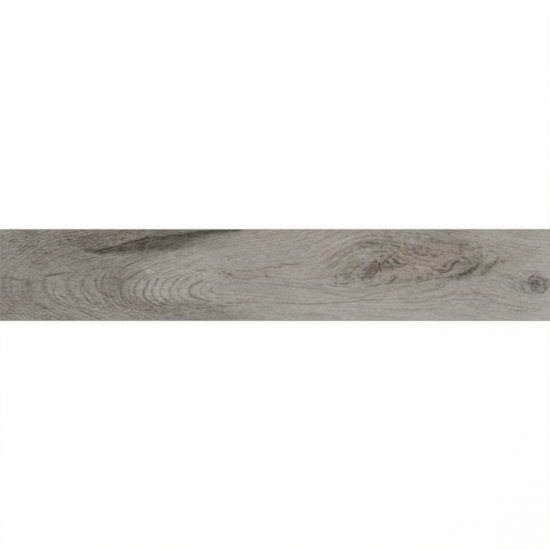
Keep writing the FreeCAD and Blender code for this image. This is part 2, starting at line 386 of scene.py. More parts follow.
        umber(2.6, 0.2, (208, 87), (220, 88)),
        umber(3.3, 0.34, (229, 62), (236, 61)),
        olive(2.0, 0.36, (210, 51), (229, 51), (247, 51)),
        olive(4.8, 0.28, (256, 52), (265, 44), (272, 36)),
        olive(2.8, 0.2, (277, 49), (286, 45), (297, 42)),
        olive(4.8, 0.26, (163, 56), (170, 54)),
        olive(3.9, 0.2, (148, 49), (155, 51)),
        olive(2.4, 0.16, (120, 41), (137, 50), (153, 58)),
        olive(2.2, 0.16, (111, 35), (129, 40), (146, 44)),
    ),
    "brow_lines": (
        olive(2.4, 0.18, (111, 15), (129, 28), (146, 41), (164, 51), (185, 58), (212, 62),
            (238, 60), (264, 54), (290, 45), (316, 36), (347, 31)),
        olive(2.4, 0.18, (103, 27), (124, 40), (146, 53), (168, 64), (194, 73), (220, 77),
            (251, 75), (281, 69), (312, 62), (343, 56), (377, 51), (408, 45)),
        olive(2.4, 0.17, (94, 40), (120, 54), (146, 67), (172, 78), (199, 84), (229, 86),
            (264, 84), (299, 78), (334, 73), (373, 69), (408, 64)),
        olive(2.4, 0.15, (81, 49), (111, 63), (142, 78), (168, 88), (190, 94)),
        olive(2.2, 0.13, (68, 62), (98, 75), (124, 86), (146, 96)),
        olive(2.4, 0.14, (268, 95), (316, 89), (360, 84), (404, 78), (447, 69), (491, 60)),
        olive(2.2, 0.13, (212, 93), (251, 93), (295, 84), (338, 78), (382, 74)),
        olive(2.2, 0.14, (120, 9), (137, 23), (157, 36), (177, 45), (199, 47), (225, 46)),
        olive(2.2, 0.15, (238, 49), (260, 42), (281, 34), (303, 27), (329, 25)),
        olive(2.2, 0.14, (247, 55), (273, 46), (299, 38), (325, 32), (360, 26)),
        olive(2.2, 0.17, (281, 27), (303, 25), (325, 22), (347, 19)),
        olive(2.2, 0.15, (264, 10), (290, 8), (316, 5), (343, 1), (369, 0)),
        olive(2.2, 0.14, (268, 3), (295, 1), (325, -3), (351, -4)),
        olive(2.2, 0.11, (229, -4), (247, -2), (264, 3)),
        olive(2.2, 0.15, (264, -14), (290, -12), (316, -10), (343, -7)),
        olive(2.2, 0.13, (273, -18), (299, -17), (325, -13)),
    ),
    "second_brow": (
        umber(2.6, 0.42, (335, 80), (343, 79), (351, 79)),
        umber(2.6, 0.36, (338, 74), (347, 73)),
        umber(2.6, 0.3, (354, 75), (362, 75)),
        umber(2.8, 0.36, (347, 72), (362, 71), (375, 68)),
        olive(7.4, 0.17, (373, 69), (388, 70), (404, 69), (417, 69)),
        umber(6.1, 0.34, (402, 69), (407, 65), (412, 65)),
        umber(3.1, 0.48, (412, 67), (419, 67), (425, 63)),
        olive(3.9, 0.26, (429, 62), (432, 57), (432, 51)),
        umber(2.6, 0.36, (440, 60), (452, 60)),
        olive(5.7, 0.22, (404, 62), (405, 54), (404, 45)),
        olive(2.6, 0.22, (416, 54), (433, 53)),
        umber(4.4, 0.3, (306, 82), (319, 81)),
        umber(3.5, 0.25, (307, 88), (313, 88)),
        umber(3.5, 0.4, (377, 89), (382, 89)),
        olive(10.9, 0.06, (325, 66), (356, 62), (391, 58)),
        umber(2.0, 0.3, (370, 41), (371, 33)),
        umber(2.6, 0.25, (360, 46), (363, 45)),
    ),
    "left_eye": (
        umber(3.3, 0.46, (145, -3), (151, -6), (159, -6), (166, -4)),
        olive(2.4, 0.14, (122, -14), (129, -4), (139, 6), (152, 14), (165, 20)),
        umber(2.4, 0.3, (134, -13), (137, -6), (145, 1), (157, 4)),
        olive(2.6, 0.24, (155, -12), (166, -10), (175, -6)),
        umber(3.1, 0.42, (169, 8), (165, 4), (158, 0), (152, -2)),
        olive(2.6, 0.32, (135, 1), (133, -4), (136, -10)),
        olive(3.1, 0.3, (143, 3), (142, -2)),
        umber(2.6, 0.38, (127, -17), (137, -17)),
        umber(2.8, 0.4, (140, -18), (152, -19), (163, -17)),
        olive(7.4, 0.26, (168, 21), (169, 14), (168, 9)),
        olive(3.9, 0.22, (175, 21), (176, 13)),
        umber(3.1, 0.42, (186, 28), (190, 25), (194, 22)),
        umber(3.1, 0.42, (177, 21), (181, 22), (185, 21)),
        olive(2.6, 0.2, (159, 7), (156, 13), (161, 20)),
        olive(3.1, 0.22, (185, 5), (194, 12), (203, 17)),
        olive(2.6, 0.13, (111, -20), (122, -23), (137, -24)),
        olive(2.6, 0.2, (155, 24), (164, 27), (175, 29)),
    ),
    "bark_pocket": (
        umber(5.7, 0.62, (216, 28), (219, 29), (223, 27)),
        umber(5.0, 0.32, (217, 27), (211, 22), (209, 15), (207, 9)),
        olive(8.7, 0.38, (209, 12), (202, 6), (194, 3)),
        umber(5.0, 0.42, (188, -9), (196, -5), (204, -1)),
        olive(7.9, 0.3, (183, -10), (192, -8), (199, -5)),
        olive(17.9, 0.42, (219, 25), (219, 14), (219, 4)),
        umber(7.4, 0.56, (219, 9), (224, 6)),
        umber(3.5, 0.24, (219, 23), (219, 16), (220, 11)),
        umber(6.3, 0.32, (220, 6), (214, 0), (208, -7)),
        umber(4.8, 0.4, (205, -8), (209, -4)),
        umber(3.1, 0.56, (223, 28), (226, 25), (228, 18), (230, 11), (233, 6)),
        umber(3.5, 0.46, (178, -1), (184, 0)),
        olive(2.0, 0.22, (225, 3), (230, -4), (226, -11)),
    ),
    "waves": (
        umber(3.3, 0.5, (231, 37), (232, 41), (235, 43), (239, 40)),
        olive(2.2, 0.25, (230, 31), (230, 36)),
        umber(3.1, 0.6, (233, 18), (235, 25), (239, 31), (241, 32), (246, 28), (252, 23),
            (258, 20)),
        umber(2.8, 0.26, (257, 20), (264, 18), (278, 16)),
        olive(6.5, 0.38, (232, 17), (243, 17), (253, 16), (262, 14)),
        olive(10.0, 0.28, (239, 25), (245, 21)),
        umber(5.7, 0.66, (249, 41), (253, 38)),
        umber(3.5, 0.5, (253, 38), (258, 34), (264, 29), (270, 26), (274, 23), (287, 22)),
        olive(7.9, 0.32, (257, 32), (264, 28), (271, 25)),
        umber(2.4, 0.3, (276, 22), (290, 22), (303, 21)),
        olive(2.4, 0.3, (300, 17), (310, 16)),
        olive(2.8, 0.18, (273, 36), (284, 32), (297, 30)),
        olive(2.4, 0.2, (281, 14), (299, 13), (316, 10)),
    ),
    "hook": (
        umber(2.4, 0.24, (235, -20), (242, -19), (250, -16)),
        umber(3.5, 0.46, (248, -17), (254, -13), (259, -9), (263, -5)),
        umber(4.4, 0.26, (251, -14), (260, -8)),
        umber(4.8, 0.4, (258, -4), (264, -5)),
        olive(3.1, 0.24, (253, -2), (258, -3)),
        olive(2.2, 0.2, (203, -27), (218, -24), (233, -20)),
        umber(5.2, 0.3, (305, -5), (313, -6), (325, -5)),
        umber(3.1, 0.2, (307, -5), (316, -6)),
        olive(2.2, 0.16, (242, -27), (268, -25), (295, -22)),
    ),
    "right_eye": (
        umber(2.6, 0.48, (337, 17), (351, 11), (361, 10), (370, 10)),
        umber(3.1, 0.55, (355, 6), (367, 6), (377, 9), (384, 14), (387, 21), (392, 26), (397, 29),
            (404, 29)),
        umber(3.5, 0.4, (387, 21), (392, 25)),
        umber(4.4, 0.54, (369, 21), (371, 16)),
        umber(2.8, 0.3, (368, 26), (371, 22), (374, 17)),
        umber(3.5, 0.5, (394, 30), (403, 28)),
        olive(10.9, 0.08, (386, 11), (399, 14), (417, 18)),
        olive(7.4, 0.2, (399, 22), (412, 24), (423, 25)),
        olive(4.8, 0.26, (362, 17), (375, 26), (385, 33)),
        olive(7.0, 0.24, (431, 46), (434, 37), (433, 29)),
        olive(7.4, 0.2, (415, 62), (417, 54)),
        slate(3.5, 0.16, (381, 15), (385, 24), (390, 31), (397, 35)),
        umber(2.6, 0.58, (404, 40), (411, 38), (417, 36), (423, 33)),
        umber(3.3, 0.5, (420, 30), (429, 29)),
        umber(2.6, 0.36, (427, 28), (427, 23)),
        olive(2.6, 0.24, (390, 39), (404, 40)),
        umber(2.2, 0.3, (325, 30), (340, 29)),
        olive(2.2, 0.26, (329, 3), (349, 1)),
        olive(2.2, 0.24, (325, 9), (339, 7)),
        umber(4.8, 0.42, (374, -5), (383, -5), (393, -5)),
        umber(2.6, 0.45, (394, -8), (403, -7)),
        olive(10.0, 0.28, (386, -4), (399, -1), (412, 3), (423, 8), (433, 14), (442, 23),
            (445, 31)),
        umber(5.2, 0.5, (397, 0), (405, 0), (412, 2)),
        umber(6.1, 0.6, (410, 2), (420, 4)),
        umber(7.0, 0.66, (418, 4), (424, 8), (430, 12)),
        umber(3.3, 0.5, (426, 13), (430, 17)),
        umber(3.9, 0.46, (431, 10), (435, 14), (439, 18)),
        umber(3.5, 0.36, (438, 15), (442, 21), (443, 28)),
        umber(3.9, 0.6, (448, 23), (451, 23)),
        olive(4.4, 0.28, (442, 31), (443, 39)),
        umber(2.6, 0.4, (449, 38), (450, 42)),
        umber(2.2, 0.22, (303, -20), (312, -17), (328, -12), (345, -8), (360, -6), (374, -5)),
        olive(2.4, 0.26, (348, -23), (362, -21), (373, -21)),
        olive(2.2, 0.2, (345, -8), (373, -7)),
        olive(2.4, 0.14, (316, -35), (347, -30), (377, -23)),
    ),
    "halo": (
        olive(8.7, 0.34, (446, 4), (453, 3), (459, 8)),
        olive(10.5, 0.34, (453, 8), (461, 13), (469, 18), (477, 25)),
        umber(3.5, 0.3, (459, 22), (464, 23)),
        umber(3.5, 0.3, (463, 15), (468, 17)),
        olive(5.7, 0.36, (473, 21), (480, 26), (482, 31)),
        umber(3.9, 0.34, (479, 27), (482, 31)),
        olive(3.9, 0.26, (483, 31), (486, 37), (485, 44)),
        olive(2.6, 0.22, (485, 44), (480, 48), (471, 51), (462, 50)),
        olive(3.7, 0.36, (461, 47), (463, 38)),
        olive(3.1, 0.24, (468, 28), (472, 24)),
        olive(3.5, 0.26, (451, 53), (449, 45), (453, 37)),
        olive(2.8, 0.26, (453, 37), (451, 31), (452, 24)),
        olive(2.8, 0.3, (441, 52), (442, 46)),
        slate(3.3, 0.3, (489, 31), (497, 30), (504, 30)),
    ),
    "small_knot": (
        olive(3.3, 0.46, (550, -14), (555, -8), (561, -3), (567, -2)),
        umber(3.3, 0.46, (567, -2), (575, -5), (582, -8), (587, -14), (590, -21)),
        umber(3.3, 0.52, (590, -21), (591, -27), (589, -34)),
        umber(2.8, 0.42, (589, -34), (583, -38), (577, -38), (569, -33)),
        slate(10.0, 0.18, (558, -15), (565, -17), (575, -21)),
        umber(4.8, 0.62, (556, -18), (564, -18)),
        umber(3.9, 0.5, (567, -15), (572, -16)),
        umber(3.9, 0.6, (569, -21), (578, -21)),
        slate(5.2, 0.3, (562, -25), (567, -28), (573, -30)),
        slate(5.7, 0.12, (559, -12), (567, -10), (578, -14)),
        slate(7.4, 0.2, (574, -27), (583, -24)),
        slate(5.2, 0.2, (585, -17), (586, -26)),
        umber(4.1, 0.62, (587, -31), (590, -30)),
        umber(3.7, 0.5, (582, -39), (586, -38)),
        olive(3.5, 0.34, (551, -14), (553, -21)),
        slate(3.1, 0.4, (558, -24), (561, -31), (567, -35)),
        olive(3.7, 0.42, (590, -7), (593, -13)),
        olive(3.3, 0.46, (594, -10), (598, -17), (598, -26)),
        slate(3.1, 0.42, (537, -21), (539, -28), (545, -35)),
        umber(2.2, 0.24, (531, -14), (539, -14), (549, -13)),
        olive(4.1, 0.2, (519, -20), (522, -31)),
        olive(2.2, 0.14, (541, -36), (554, -41), (567, -45)),
        olive(2.6, 0.14, (535, -3), (548, 5), (563, 8), (578, 7)),
        olive(2.6, 0.16, (517, -62), (530, -62), (545, -65)),
        olive(2.4, 0.13, (508, -75), (530, -77), (556, -78), (587, -77)),
    ),
    "long_lines": (
        umber(2.2, 0.3, (0, -60), (37, -62), (76, -63), (120, -61), (164, -58), (199, -55),
            (238, -54)),
        umber(2.2, 0.14, (155, -51), (199, -45), (242, -36), (277, -27), (308, -21)),
        olive(2.2, 0.15, (94, -34), (129, -42), (164, -48), (212, -48), (255, -45)),
        olive(2.2, 0.13, (260, -45), (295, -43), (334, -36), (364, -28)),
        olive(2.2, 0.12, (142, -36), (177, -39), (216, -38), (251, -34), (281, -31)),
        olive(2.2, 0.13, (281, -60), (316, -58), (347, -52), (373, -45), (395, -35)),
        olive(2.2, 0.12, (360, -63), (386, -55), (408, -46), (425, -40)),
        olive(2.2, 0.11, (425, -35), (443, -40), (460, -48), (482, -57)),
        olive(2.2, 0.13, (242, -74), (281, -76), (325, -75), (373, -72)),
        olive(2.8, 0.12, (55, -86), (81, -85), (111, -87)),
        olive(2.6, 0.11, (2, -84), (20, -86), (37, -91)),
        olive(2.2, 0.1, (120, 13), (135, 23), (153, 31)),
        olive(2.2, 0.1, (94, 9), (111, 14), (129, 25)),
        olive(2.2, 0.1, (0, 59), (24, 64), (50, 74), (76, 82)),
        olive(2.2, 0.11, (33, 34), (59, 36), (85, 41), (111, 52)),
        olive(2.2, 0.09, (478, 85), (500, 76), (526, 69), (556, 62)),
    ),
}
# Tone of the bare print, from 0, black, to 1, white
BASE_TONE = 0.642
# Where the print is darker or lighter
TONE_PATCHES = (
    Patch(-600, 0, 240, 175, 0, -0.078), Patch(-393, 55, 131, 31, 4, -0.047),
    Patch(-356, 92, 92, 13, 0, -0.035), Patch(-273, 74, 109, 20, 6, -0.024),
    Patch(-347, -20, 17, 24, 0, -0.047), Patch(-225, -92, 131, 15, 0, -0.039),
    Patch(-338, -55, 87, 26, -20, -0.031), Patch(-273, -17, 48, 26, 0, 0.02),
    Patch(-185, 15, 98, 31, 6, 0.024), Patch(229, 28, 92, 44, -3, -0.027),
    Patch(408, 28, 83, 44, 0, -0.027), Patch(338, 55, 87, 22, -8, -0.016),
    Patch(571, -21, 15, 14, 0, -0.047), Patch(273, -81, 262, 26, 0, 0.024),
    Patch(578, 55, 65, 39, 0, 0.016), Patch(-556, -94, 131, 17, 0, 0.012),
    Patch(-233, -24, 57, 20, 0, 0.031), Patch(-356, 70, 17, 7, 8, 0.024),
    Patch(-469, -17, 39, 17, 0, 0.016), Patch(199, 34, 13, 7, 0, 0.031),
    Patch(305, 72, 11, 7, 0, 0.039), Patch(469, 39, 10, 9, 0, 0.063),
    Patch(395, 8, 11, 4, 10, 0.031), Patch(595, -24, 2, 9, 0, 0.055),
    Patch(-535, 93, 15, 5, 0, -0.055), Patch(-508, 41, 9, 15, -30, -0.02),
    Patch(-574, -70, 11, 15, 0, -0.031), Patch(214, 15, 11, 13, 0, -0.031),
    Patch(-164, 28, 52, 9, 20, 0.016), Patch(535, 15, 35, 11, -10, 0.016),
    Patch(-412, 70, 44, 22, 5, -0.031), Patch(-107, 92, 44, 11, 5, -0.035),
    Patch(-513, 85, 87, 15, 0, -0.024), Patch(-552, -72, 57, 22, 0, -0.027),
    Patch(-207, -63, 109, 15, -5, 0.035), Patch(-273, -89, 96, 13, 0, 0.024),
    Patch(-356, -72, 44, 20, 0, 0.02), Patch(131, 68, 44, 17, 25, 0.024),
    Patch(273, 76, 87, 20, 0, 0.016), Patch(273, -20, 109, 15, 0, 0.016),
    Patch(33, -68, 131, 22, 0, 0.012), Patch(299, 15, 20, 9, 0, 0.02),
    Patch(-284, 94, 87, 5, 0, -0.055), Patch(373, 61, 48, 17, 0, 0.016),
    Patch(-338, 55, 131, 31, 0, -0.012), Patch(-360, -72, 57, 17, 0, -0.016),
    Patch(-98, -89, 44, 13, 0, -0.031), Patch(589, 37, 22, 57, 0, 0.012),
    Patch(-362, -39, 13, 13, 0, 0.024), Patch(-382, 33, 39, 17, 0, -0.016),
    Patch(397, 38, 15, 4, 0, 0.024), Patch(-273, -96, 218, 7, 0, -0.031),
    Patch(-164, -95, 52, 7, 0, -0.024), Patch(-460, -95, 39, 7, 0, -0.027),
    Patch(-382, 96, 52, 7, 0, 0.055), Patch(-236, 96, 17, 5, 0, -0.043),
    Patch(-185, 93, 15, 5, 0, 0.035), Patch(-87, 96, 15, 4, 0, 0.039),
    Patch(-48, 96, 22, 5, 0, -0.043), Patch(127, 96, 17, 4, 0, -0.031),
    Patch(273, 96, 13, 4, 0, 0.031), Patch(367, 95, 31, 6, 0, -0.047),
    Patch(452, 95, 17, 5, 0, 0.039), Patch(495, 80, 31, 7, -8, 0.031),
    Patch(445, 68, 11, 4, 0, 0.031), Patch(-356, 43, 35, 5, -3, 0.043),
    Patch(-334, 33, 20, 7, -8, 0.035), Patch(-216, 39, 44, 13, -14, 0.035),
    Patch(-310, -28, 17, 17, 0, -0.027), Patch(-593, -28, 11, 17, 0, -0.031),
    Patch(-495, -41, 17, 5, 0, 0.031), Patch(-445, -40, 9, 4, 0, 0.039),
    Patch(-493, 70, 13, 5, 0, 0.031), Patch(-513, 57, 13, 4, 0, 0.031),
    Patch(-257, -67, 17, 4, 10, 0.035), Patch(-133, -52, 35, 7, 0, 0.031),
    Patch(-85, -83, 20, 7, 0, -0.035), Patch(-323, 4, 15, 9, 20, -0.031),
    Patch(-347, -44, 13, 7, 0, -0.031), Patch(-15, -60, 20, 5, 0, -0.024),
    Patch(-11, -28, 17, 5, 0, -0.027), Patch(-59, 28, 13, 5, 0, -0.024),
    Patch(72, 25, 20, 5, 0, -0.027), Patch(164, 13, 13, 11, 0, -0.035),
    Patch(188, 17, 11, 9, 0, -0.039), Patch(179, -11, 9, 4, 0, -0.031),
    Patch(314, 52, 9, 7, 0, -0.027), Patch(268, 52, 17, 7, -20, 0.027),
    Patch(360, 46, 11, 4, 0, -0.027), Patch(364, -46, 13, 5, 0, 0.027),
    Patch(526, -13, 13, 15, 0, -0.035), Patch(553, -17, 5, 6, 0, -0.039),
    Patch(517, 28, 17, 7, 0, -0.024), Patch(-565, -94, 26, 7, 0, 0.027),
    Patch(-578, 28, 31, 31, 0, 0.024), Patch(-537, -39, 11, 7, 0, -0.031),
    Patch(-528, -35, 22, 15, 0, -0.016), Patch(-480, -52, 17, 7, 0, 0.031),
    Patch(-460, 59, 20, 9, -10, 0.035), Patch(-487, 33, 11, 7, 0, 0.027),
    Patch(-449, 95, 17, 5, 0, -0.035), Patch(-406, 70, 13, 7, 0, -0.031),
    Patch(-349, -94, 17, 7, 0, 0.031), Patch(-343, 47, 9, 4, 0, -0.031),
    Patch(-332, 63, 9, 4, -14, 0.035), Patch(-325, 95, 15, 6, 0, -0.031),
    Patch(-295, 89, 20, 7, -6, 0.035), Patch(-349, 4, 11, 7, 0, -0.024),
    Patch(-233, -6, 20, 9, 0, -0.035), Patch(-216, -24, 20, 15, 0, -0.024),
    Patch(-185, -55, 15, 7, 0, -0.027), Patch(-196, 66, 11, 6, -10, -0.027),
    Patch(-172, 24, 15, 9, 0, -0.035), Patch(-168, 70, 20, 7, -8, -0.031),
    Patch(-133, 68, 26, 11, 0, -0.031), Patch(-103, 70, 20, 9, 0, -0.024),
    Patch(-94, 11, 39, 26, 0, -0.016), Patch(-81, -28, 26, 13, 0, -0.02),
    Patch(-122, -94, 22, 7, 0, 0.02), Patch(-63, -94, 17, 7, 0, 0.02),
    Patch(22, 59, 15, 7, 0, 0.02), Patch(28, 28, 17, 4, 0, 0.027), Patch(109, 2, 17, 9, 0, -0.02),
    Patch(129, -22, 13, 4, 0, 0.027), Patch(199, 26, 9, 5, 0, -0.031),
    Patch(209, -17, 13, 4, 0, 0.031), Patch(212, 79, 13, 4, 0, 0.027),
    Patch(212, 17, 6, 9, 0, 0.031), Patch(190, -54, 31, 9, 0, 0.024),
    Patch(255, -94, 57, 7, 0, 0.027), Patch(487, -94, 26, 7, 0, 0.024),
    Patch(578, -89, 31, 13, 0, 0.027), Patch(598, 55, 13, 26, 0, 0.027),
    Patch(598, -63, 11, 22, 0, 0.016), Patch(569, -65, 31, 13, 0, 0.012),
    Patch(332, 31, 9, 4, 0, 0.035), Patch(380, 95, 15, 5, 0, -0.027),
    Patch(399, 54, 13, 7, 0, -0.024), Patch(439, -59, 31, 11, 0, -0.016),
    Patch(-596, -92, 13, 11, 0, -0.035), Patch(-596, -15, 11, 20, 0, -0.016),
    Patch(-596, 63, 11, 11, 0, -0.02), Patch(-530, -68, 20, 9, -10, -0.024),
    Patch(-463, 94, 15, 6, 0, 0.027), Patch(-428, 84, 20, 6, 0, 0.024),
    Patch(-356, 96, 11, 4, 0, 0.027), Patch(-314, 96, 13, 5, 0, -0.027),
    Patch(-319, 9, 11, 11, 0, -0.02), Patch(-271, -3, 11, 7, 0, 0.024),
    Patch(-212, -9, 17, 6, 0, 0.027), Patch(-229, -76, 26, 5, 0, 0.024),
    Patch(188, -79, 22, 9, 0, -0.016), Patch(199, 96, 17, 5, 0, -0.024),
    Patch(290, -83, 20, 7, 0, -0.02), Patch(-279, 12, 17, 7, -20, 0.024),
    Patch(-247, 28, 20, 7, -18, 0.024), Patch(-251, -68, 26, 7, 10, 0.02),
    Patch(-207, -75, 22, 5, 0, 0.02), Patch(-140, -76, 22, 7, 0, 0.024),
    Patch(185, -50, 44, 9, 0, 0.02), Patch(273, -26, 17, 5, 0, 0.024),
    Patch(-380, 28, 22, 9, -12, 0.016), Patch(-410, -46, 15, 9, 0, 0.02),
    Patch(-497, -39, 17, 9, 0, 0.031), Patch(-408, -84, 26, 11, 0, 0.024),
    Patch(-478, -63, 22, 9, 0, 0.02), Patch(-587, 94, 22, 11, 0, 0.024),
    Patch(-423, 3, 15, 7, 0, -0.02), Patch(-199, 83, 20, 7, -8, 0.02),
    Patch(-109, -57, 22, 9, 0, 0.02), Patch(-4, -33, 26, 11, 0, -0.016),
    Patch(290, 44, 17, 9, -20, 0.02), Patch(323, -28, 20, 9, 0, -0.016),
    Patch(338, 65, 20, 9, 0, 0.02), Patch(428, -24, 20, 9, 0, -0.016),
    Patch(598, -94, 17, 11, 0, 0.02), Patch(-497, -57, 17, 7, 0, -0.024),
    Patch(-336, 60, 11, 5, -12, 0.031), Patch(-268, 63, 13, 13, -8, -0.02),
    Patch(362, 17, 13, 7, 0, -0.027), Patch(371, -3, 11, 4, 0, -0.027),
    Patch(277, -4, 13, 5, 0, -0.024), Patch(-589, -94, 13, 7, 0, -0.024),
    Patch(382, -85, 31, 11, 0, -0.012), Patch(-251, -65, 13, 5, 10, 0.024),
    Patch(-207, -85, 22, 7, 0, 0.02), Patch(-583, -11, 17, 9, 0, 0.016),
    Patch(-524, 50, 13, 9, 0, 0.02), Patch(-236, 96, 22, 5, 0, -0.02),
    Patch(-567, -94, 22, 9, 0, 0.016), Patch(-85, 96, 15, 5, 0, 0.024),
    Patch(11, -94, 26, 7, 0, 0.016), Patch(292, 87, 17, 7, 0, 0.02),
    Patch(371, -52, 26, 9, 0, 0.016), Patch(-578, -55, 15, 9, 0, 0.02),
    Patch(-506, 9, 11, 7, 0, -0.024), Patch(-120, -17, 11, 7, 0, 0.024),
    Patch(-596, -22, 9, 31, 0, -0.016),
)
# Where the print turns warm
WARM_PATCHES = (
    Patch(229, 15, 153, 35, 0, 0.14), Patch(-65, 7, 48, 13, 0, 0.14),
    Patch(360, 28, 131, 35, 0, 0.11), Patch(-574, -70, 13, 15, 0, 0.32),
    Patch(535, 37, 87, 17, -10, 0.09), Patch(55, 76, 109, 17, 10, 0.07),
    Patch(-310, 81, 17, 9, 0, 0.14), Patch(-508, 41, 9, 15, -30, 0.22),
    Patch(-578, 65, 17, 13, 0, 0.18), Patch(-268, -79, 17, 7, 0, 0.27),
    Patch(-164, -65, 109, 17, 0, 0.09), Patch(-329, 72, 17, 9, 10, 0.22),
    Patch(120, 28, 262, 65, 0, 0.09), Patch(535, 28, 131, 52, 0, 0.07),
    Patch(338, 63, 131, 26, 0, 0.07),
)
# Where the print turns to a cool grey
SLATE_PATCHES = (
    Patch(194, 34, 15, 8, 0, 0.3), Patch(397, 31, 15, 5, -5, 0.4), Patch(395, 9, 11, 5, 10, 0.35),
    Patch(566, -22, 14, 14, 0, 0.3), Patch(305, 72, 11, 7, 0, 0.3), Patch(469, 39, 9, 7, 0, 0.15),
    Patch(535, -26, 5, 9, 0, 0.2),
)
# Where the rings' late wood is printed, and how strongly
RING_PATCHES = (
    Patch(0, 0, 1964, 436, 0, 0.045), Patch(-225, -24, 100, 24, 0, -0.045),
    Patch(-273, 37, 109, 22, 20, 0.02), Patch(-194, 41, 57, 17, 18, -0.03),
    Patch(-469, 63, 109, 35, 20, 0.03), Patch(-425, -63, 96, 20, -25, 0.04),
    Patch(273, 85, 196, 20, -3, 0.035), Patch(131, 59, 65, 31, 20, -0.02),
    Patch(502, 76, 57, 17, -8, -0.03), Patch(284, 15, 113, 20, 0, -0.045),
    Patch(569, -22, 31, 26, 0, -0.045), Patch(-508, -9, 118, 28, 0, -0.04),
    Patch(-131, -55, 48, 13, 0, -0.01), Patch(-247, -65, 118, 15, -6, 0.055),
    Patch(-513, 72, 131, 26, 0, 0.012), Patch(-447, -72, 131, 20, -16, 0.025),
    Patch(-273, 28, 109, 31, 20, 0.02), Patch(295, 61, 96, 15, -6, 0.02),
)
# Strength of the fibres in the bare print
FIBRE_INK = 0.5
# Where the fibres are printed more strongly or weakly
FIBRE_PATCHES = (
    Patch(-556, 22, 175, 131, 0, 0.36), Patch(-316, 22, 131, 131, 0, 0.2),
    Patch(-251, -76, 109, 17, 0, -0.05), Patch(316, 28, 131, 44, 0, 0.12),
    Patch(55, 7, 175, 109, 0, -0.1),
)
# Stretches with fine figures, and how many more columns they get
DETAIL_SPANS = ((-521, -360, 0.8), (-382, -85, 1.4), (120, 517, 2.4), (517, 600, 2.4))


def linear(colour: str) -> tuple[float, float, float, float]:
    """Turns an sRGB hex colour to the linear values that Blender's sockets take.

    Args:
        colour: Six hex digits, with or without a leading #.

    Returns:
        Linear red, green, blue and full alpha.
    """
    digits = colour.lstrip("#")
    channels = [int(digits[i:i + 2], 16) / 255 for i in (0, 2, 4)]
    bent = [c / 12.92 if c <= 0.04045 else ((c + 0.055) / 1.055) ** 2.4 for c in channels]
    return (bent[0], bent[1], bent[2], 1.0)


def fade(value: np.ndarray, low: float, high: float) -> np.ndarray:
    """Rises smoothly from 0 at low to 1 at high.

    Args:
        value: Numbers to place between the two ends.
        low: Where the rise starts.
        high: Where the rise ends; it may be under low.

    Returns:
        One number from 0 to 1 for each value.
    """
    t = np.clip((value - low) / (high - low), 0, 1)
    return t * t * (3 - 2 * t)


def cubic(t: np.ndarray, start: np.ndarray, leaving: np.ndarray, end: np.ndarray,
          arriving: np.ndarray) -> np.ndarray:
    """Follows a cubic curve between two places.

    Args:
        t: How far along the curve, from 0 to 1.
        start: Where the curve starts.
        leaving: Its slope there.
        end: Where the curve ends.
        arriving: Its slope there.

    Returns:
        The curve's places.
    """
    return (
        (2 * t**3 - 3 * t**2 + 1) * start + (t**3 - 2 * t**2 + t) * leaving
        + (3 * t**2 - 2 * t**3) * end + (t**3 - t**2) * arriving
    )


def smooth_line(points: tuple[Point, ...], step: float = 1.2) -> np.ndarray:
    """Draws a smooth line through points, as a spline whose tangents join their neighbours.

    Args:
        points: Places on the print, in millimetres.
        step: Distance between two places of the line, in millimetres.

    Returns:
        The line's places, one row each.
    """
    knots = np.array(points, float)
    padded = np.vstack([2 * knots[0] - knots[1], knots, 2 * knots[-1] - knots[-2]])
    rows = [knots[:1]]
    for before, start, end, after in zip(padded, padded[1:], padded[2:], padded[3:]):
        count = max(2, math.ceil(np.hypot(*(end - start)) / step))
        t = (np.arange(1, count + 1) / count)[:, None]
        rows.append(cubic(t, start, (end - before) / 2, end, (after - start) / 2))
    return np.vstack(rows)


def smooth_heights(x: np.ndarray, stations: tuple, heights: tuple) -> np.ndarray:
    """Reads a flow line's height at each x, on a smooth line through its stations.

    Args:
        x: Places along the length.
        stations: Places where the heights are given, from left to right.
        heights: The line's height at each station.

    Returns:
        The line's height at each place.
    """
    xs, ys = np.array(stations), np.array(heights)
    slopes = np.gradient(ys, xs)
    i = np.clip(np.searchsorted(xs, x) - 1, 0, len(xs) - 2)
    span = xs[i + 1] - xs[i]
    t = np.clip((x - xs[i]) / span, 0, 1)
    return cubic(t, ys[i], span * slopes[i], ys[i + 1], span * slopes[i + 1])


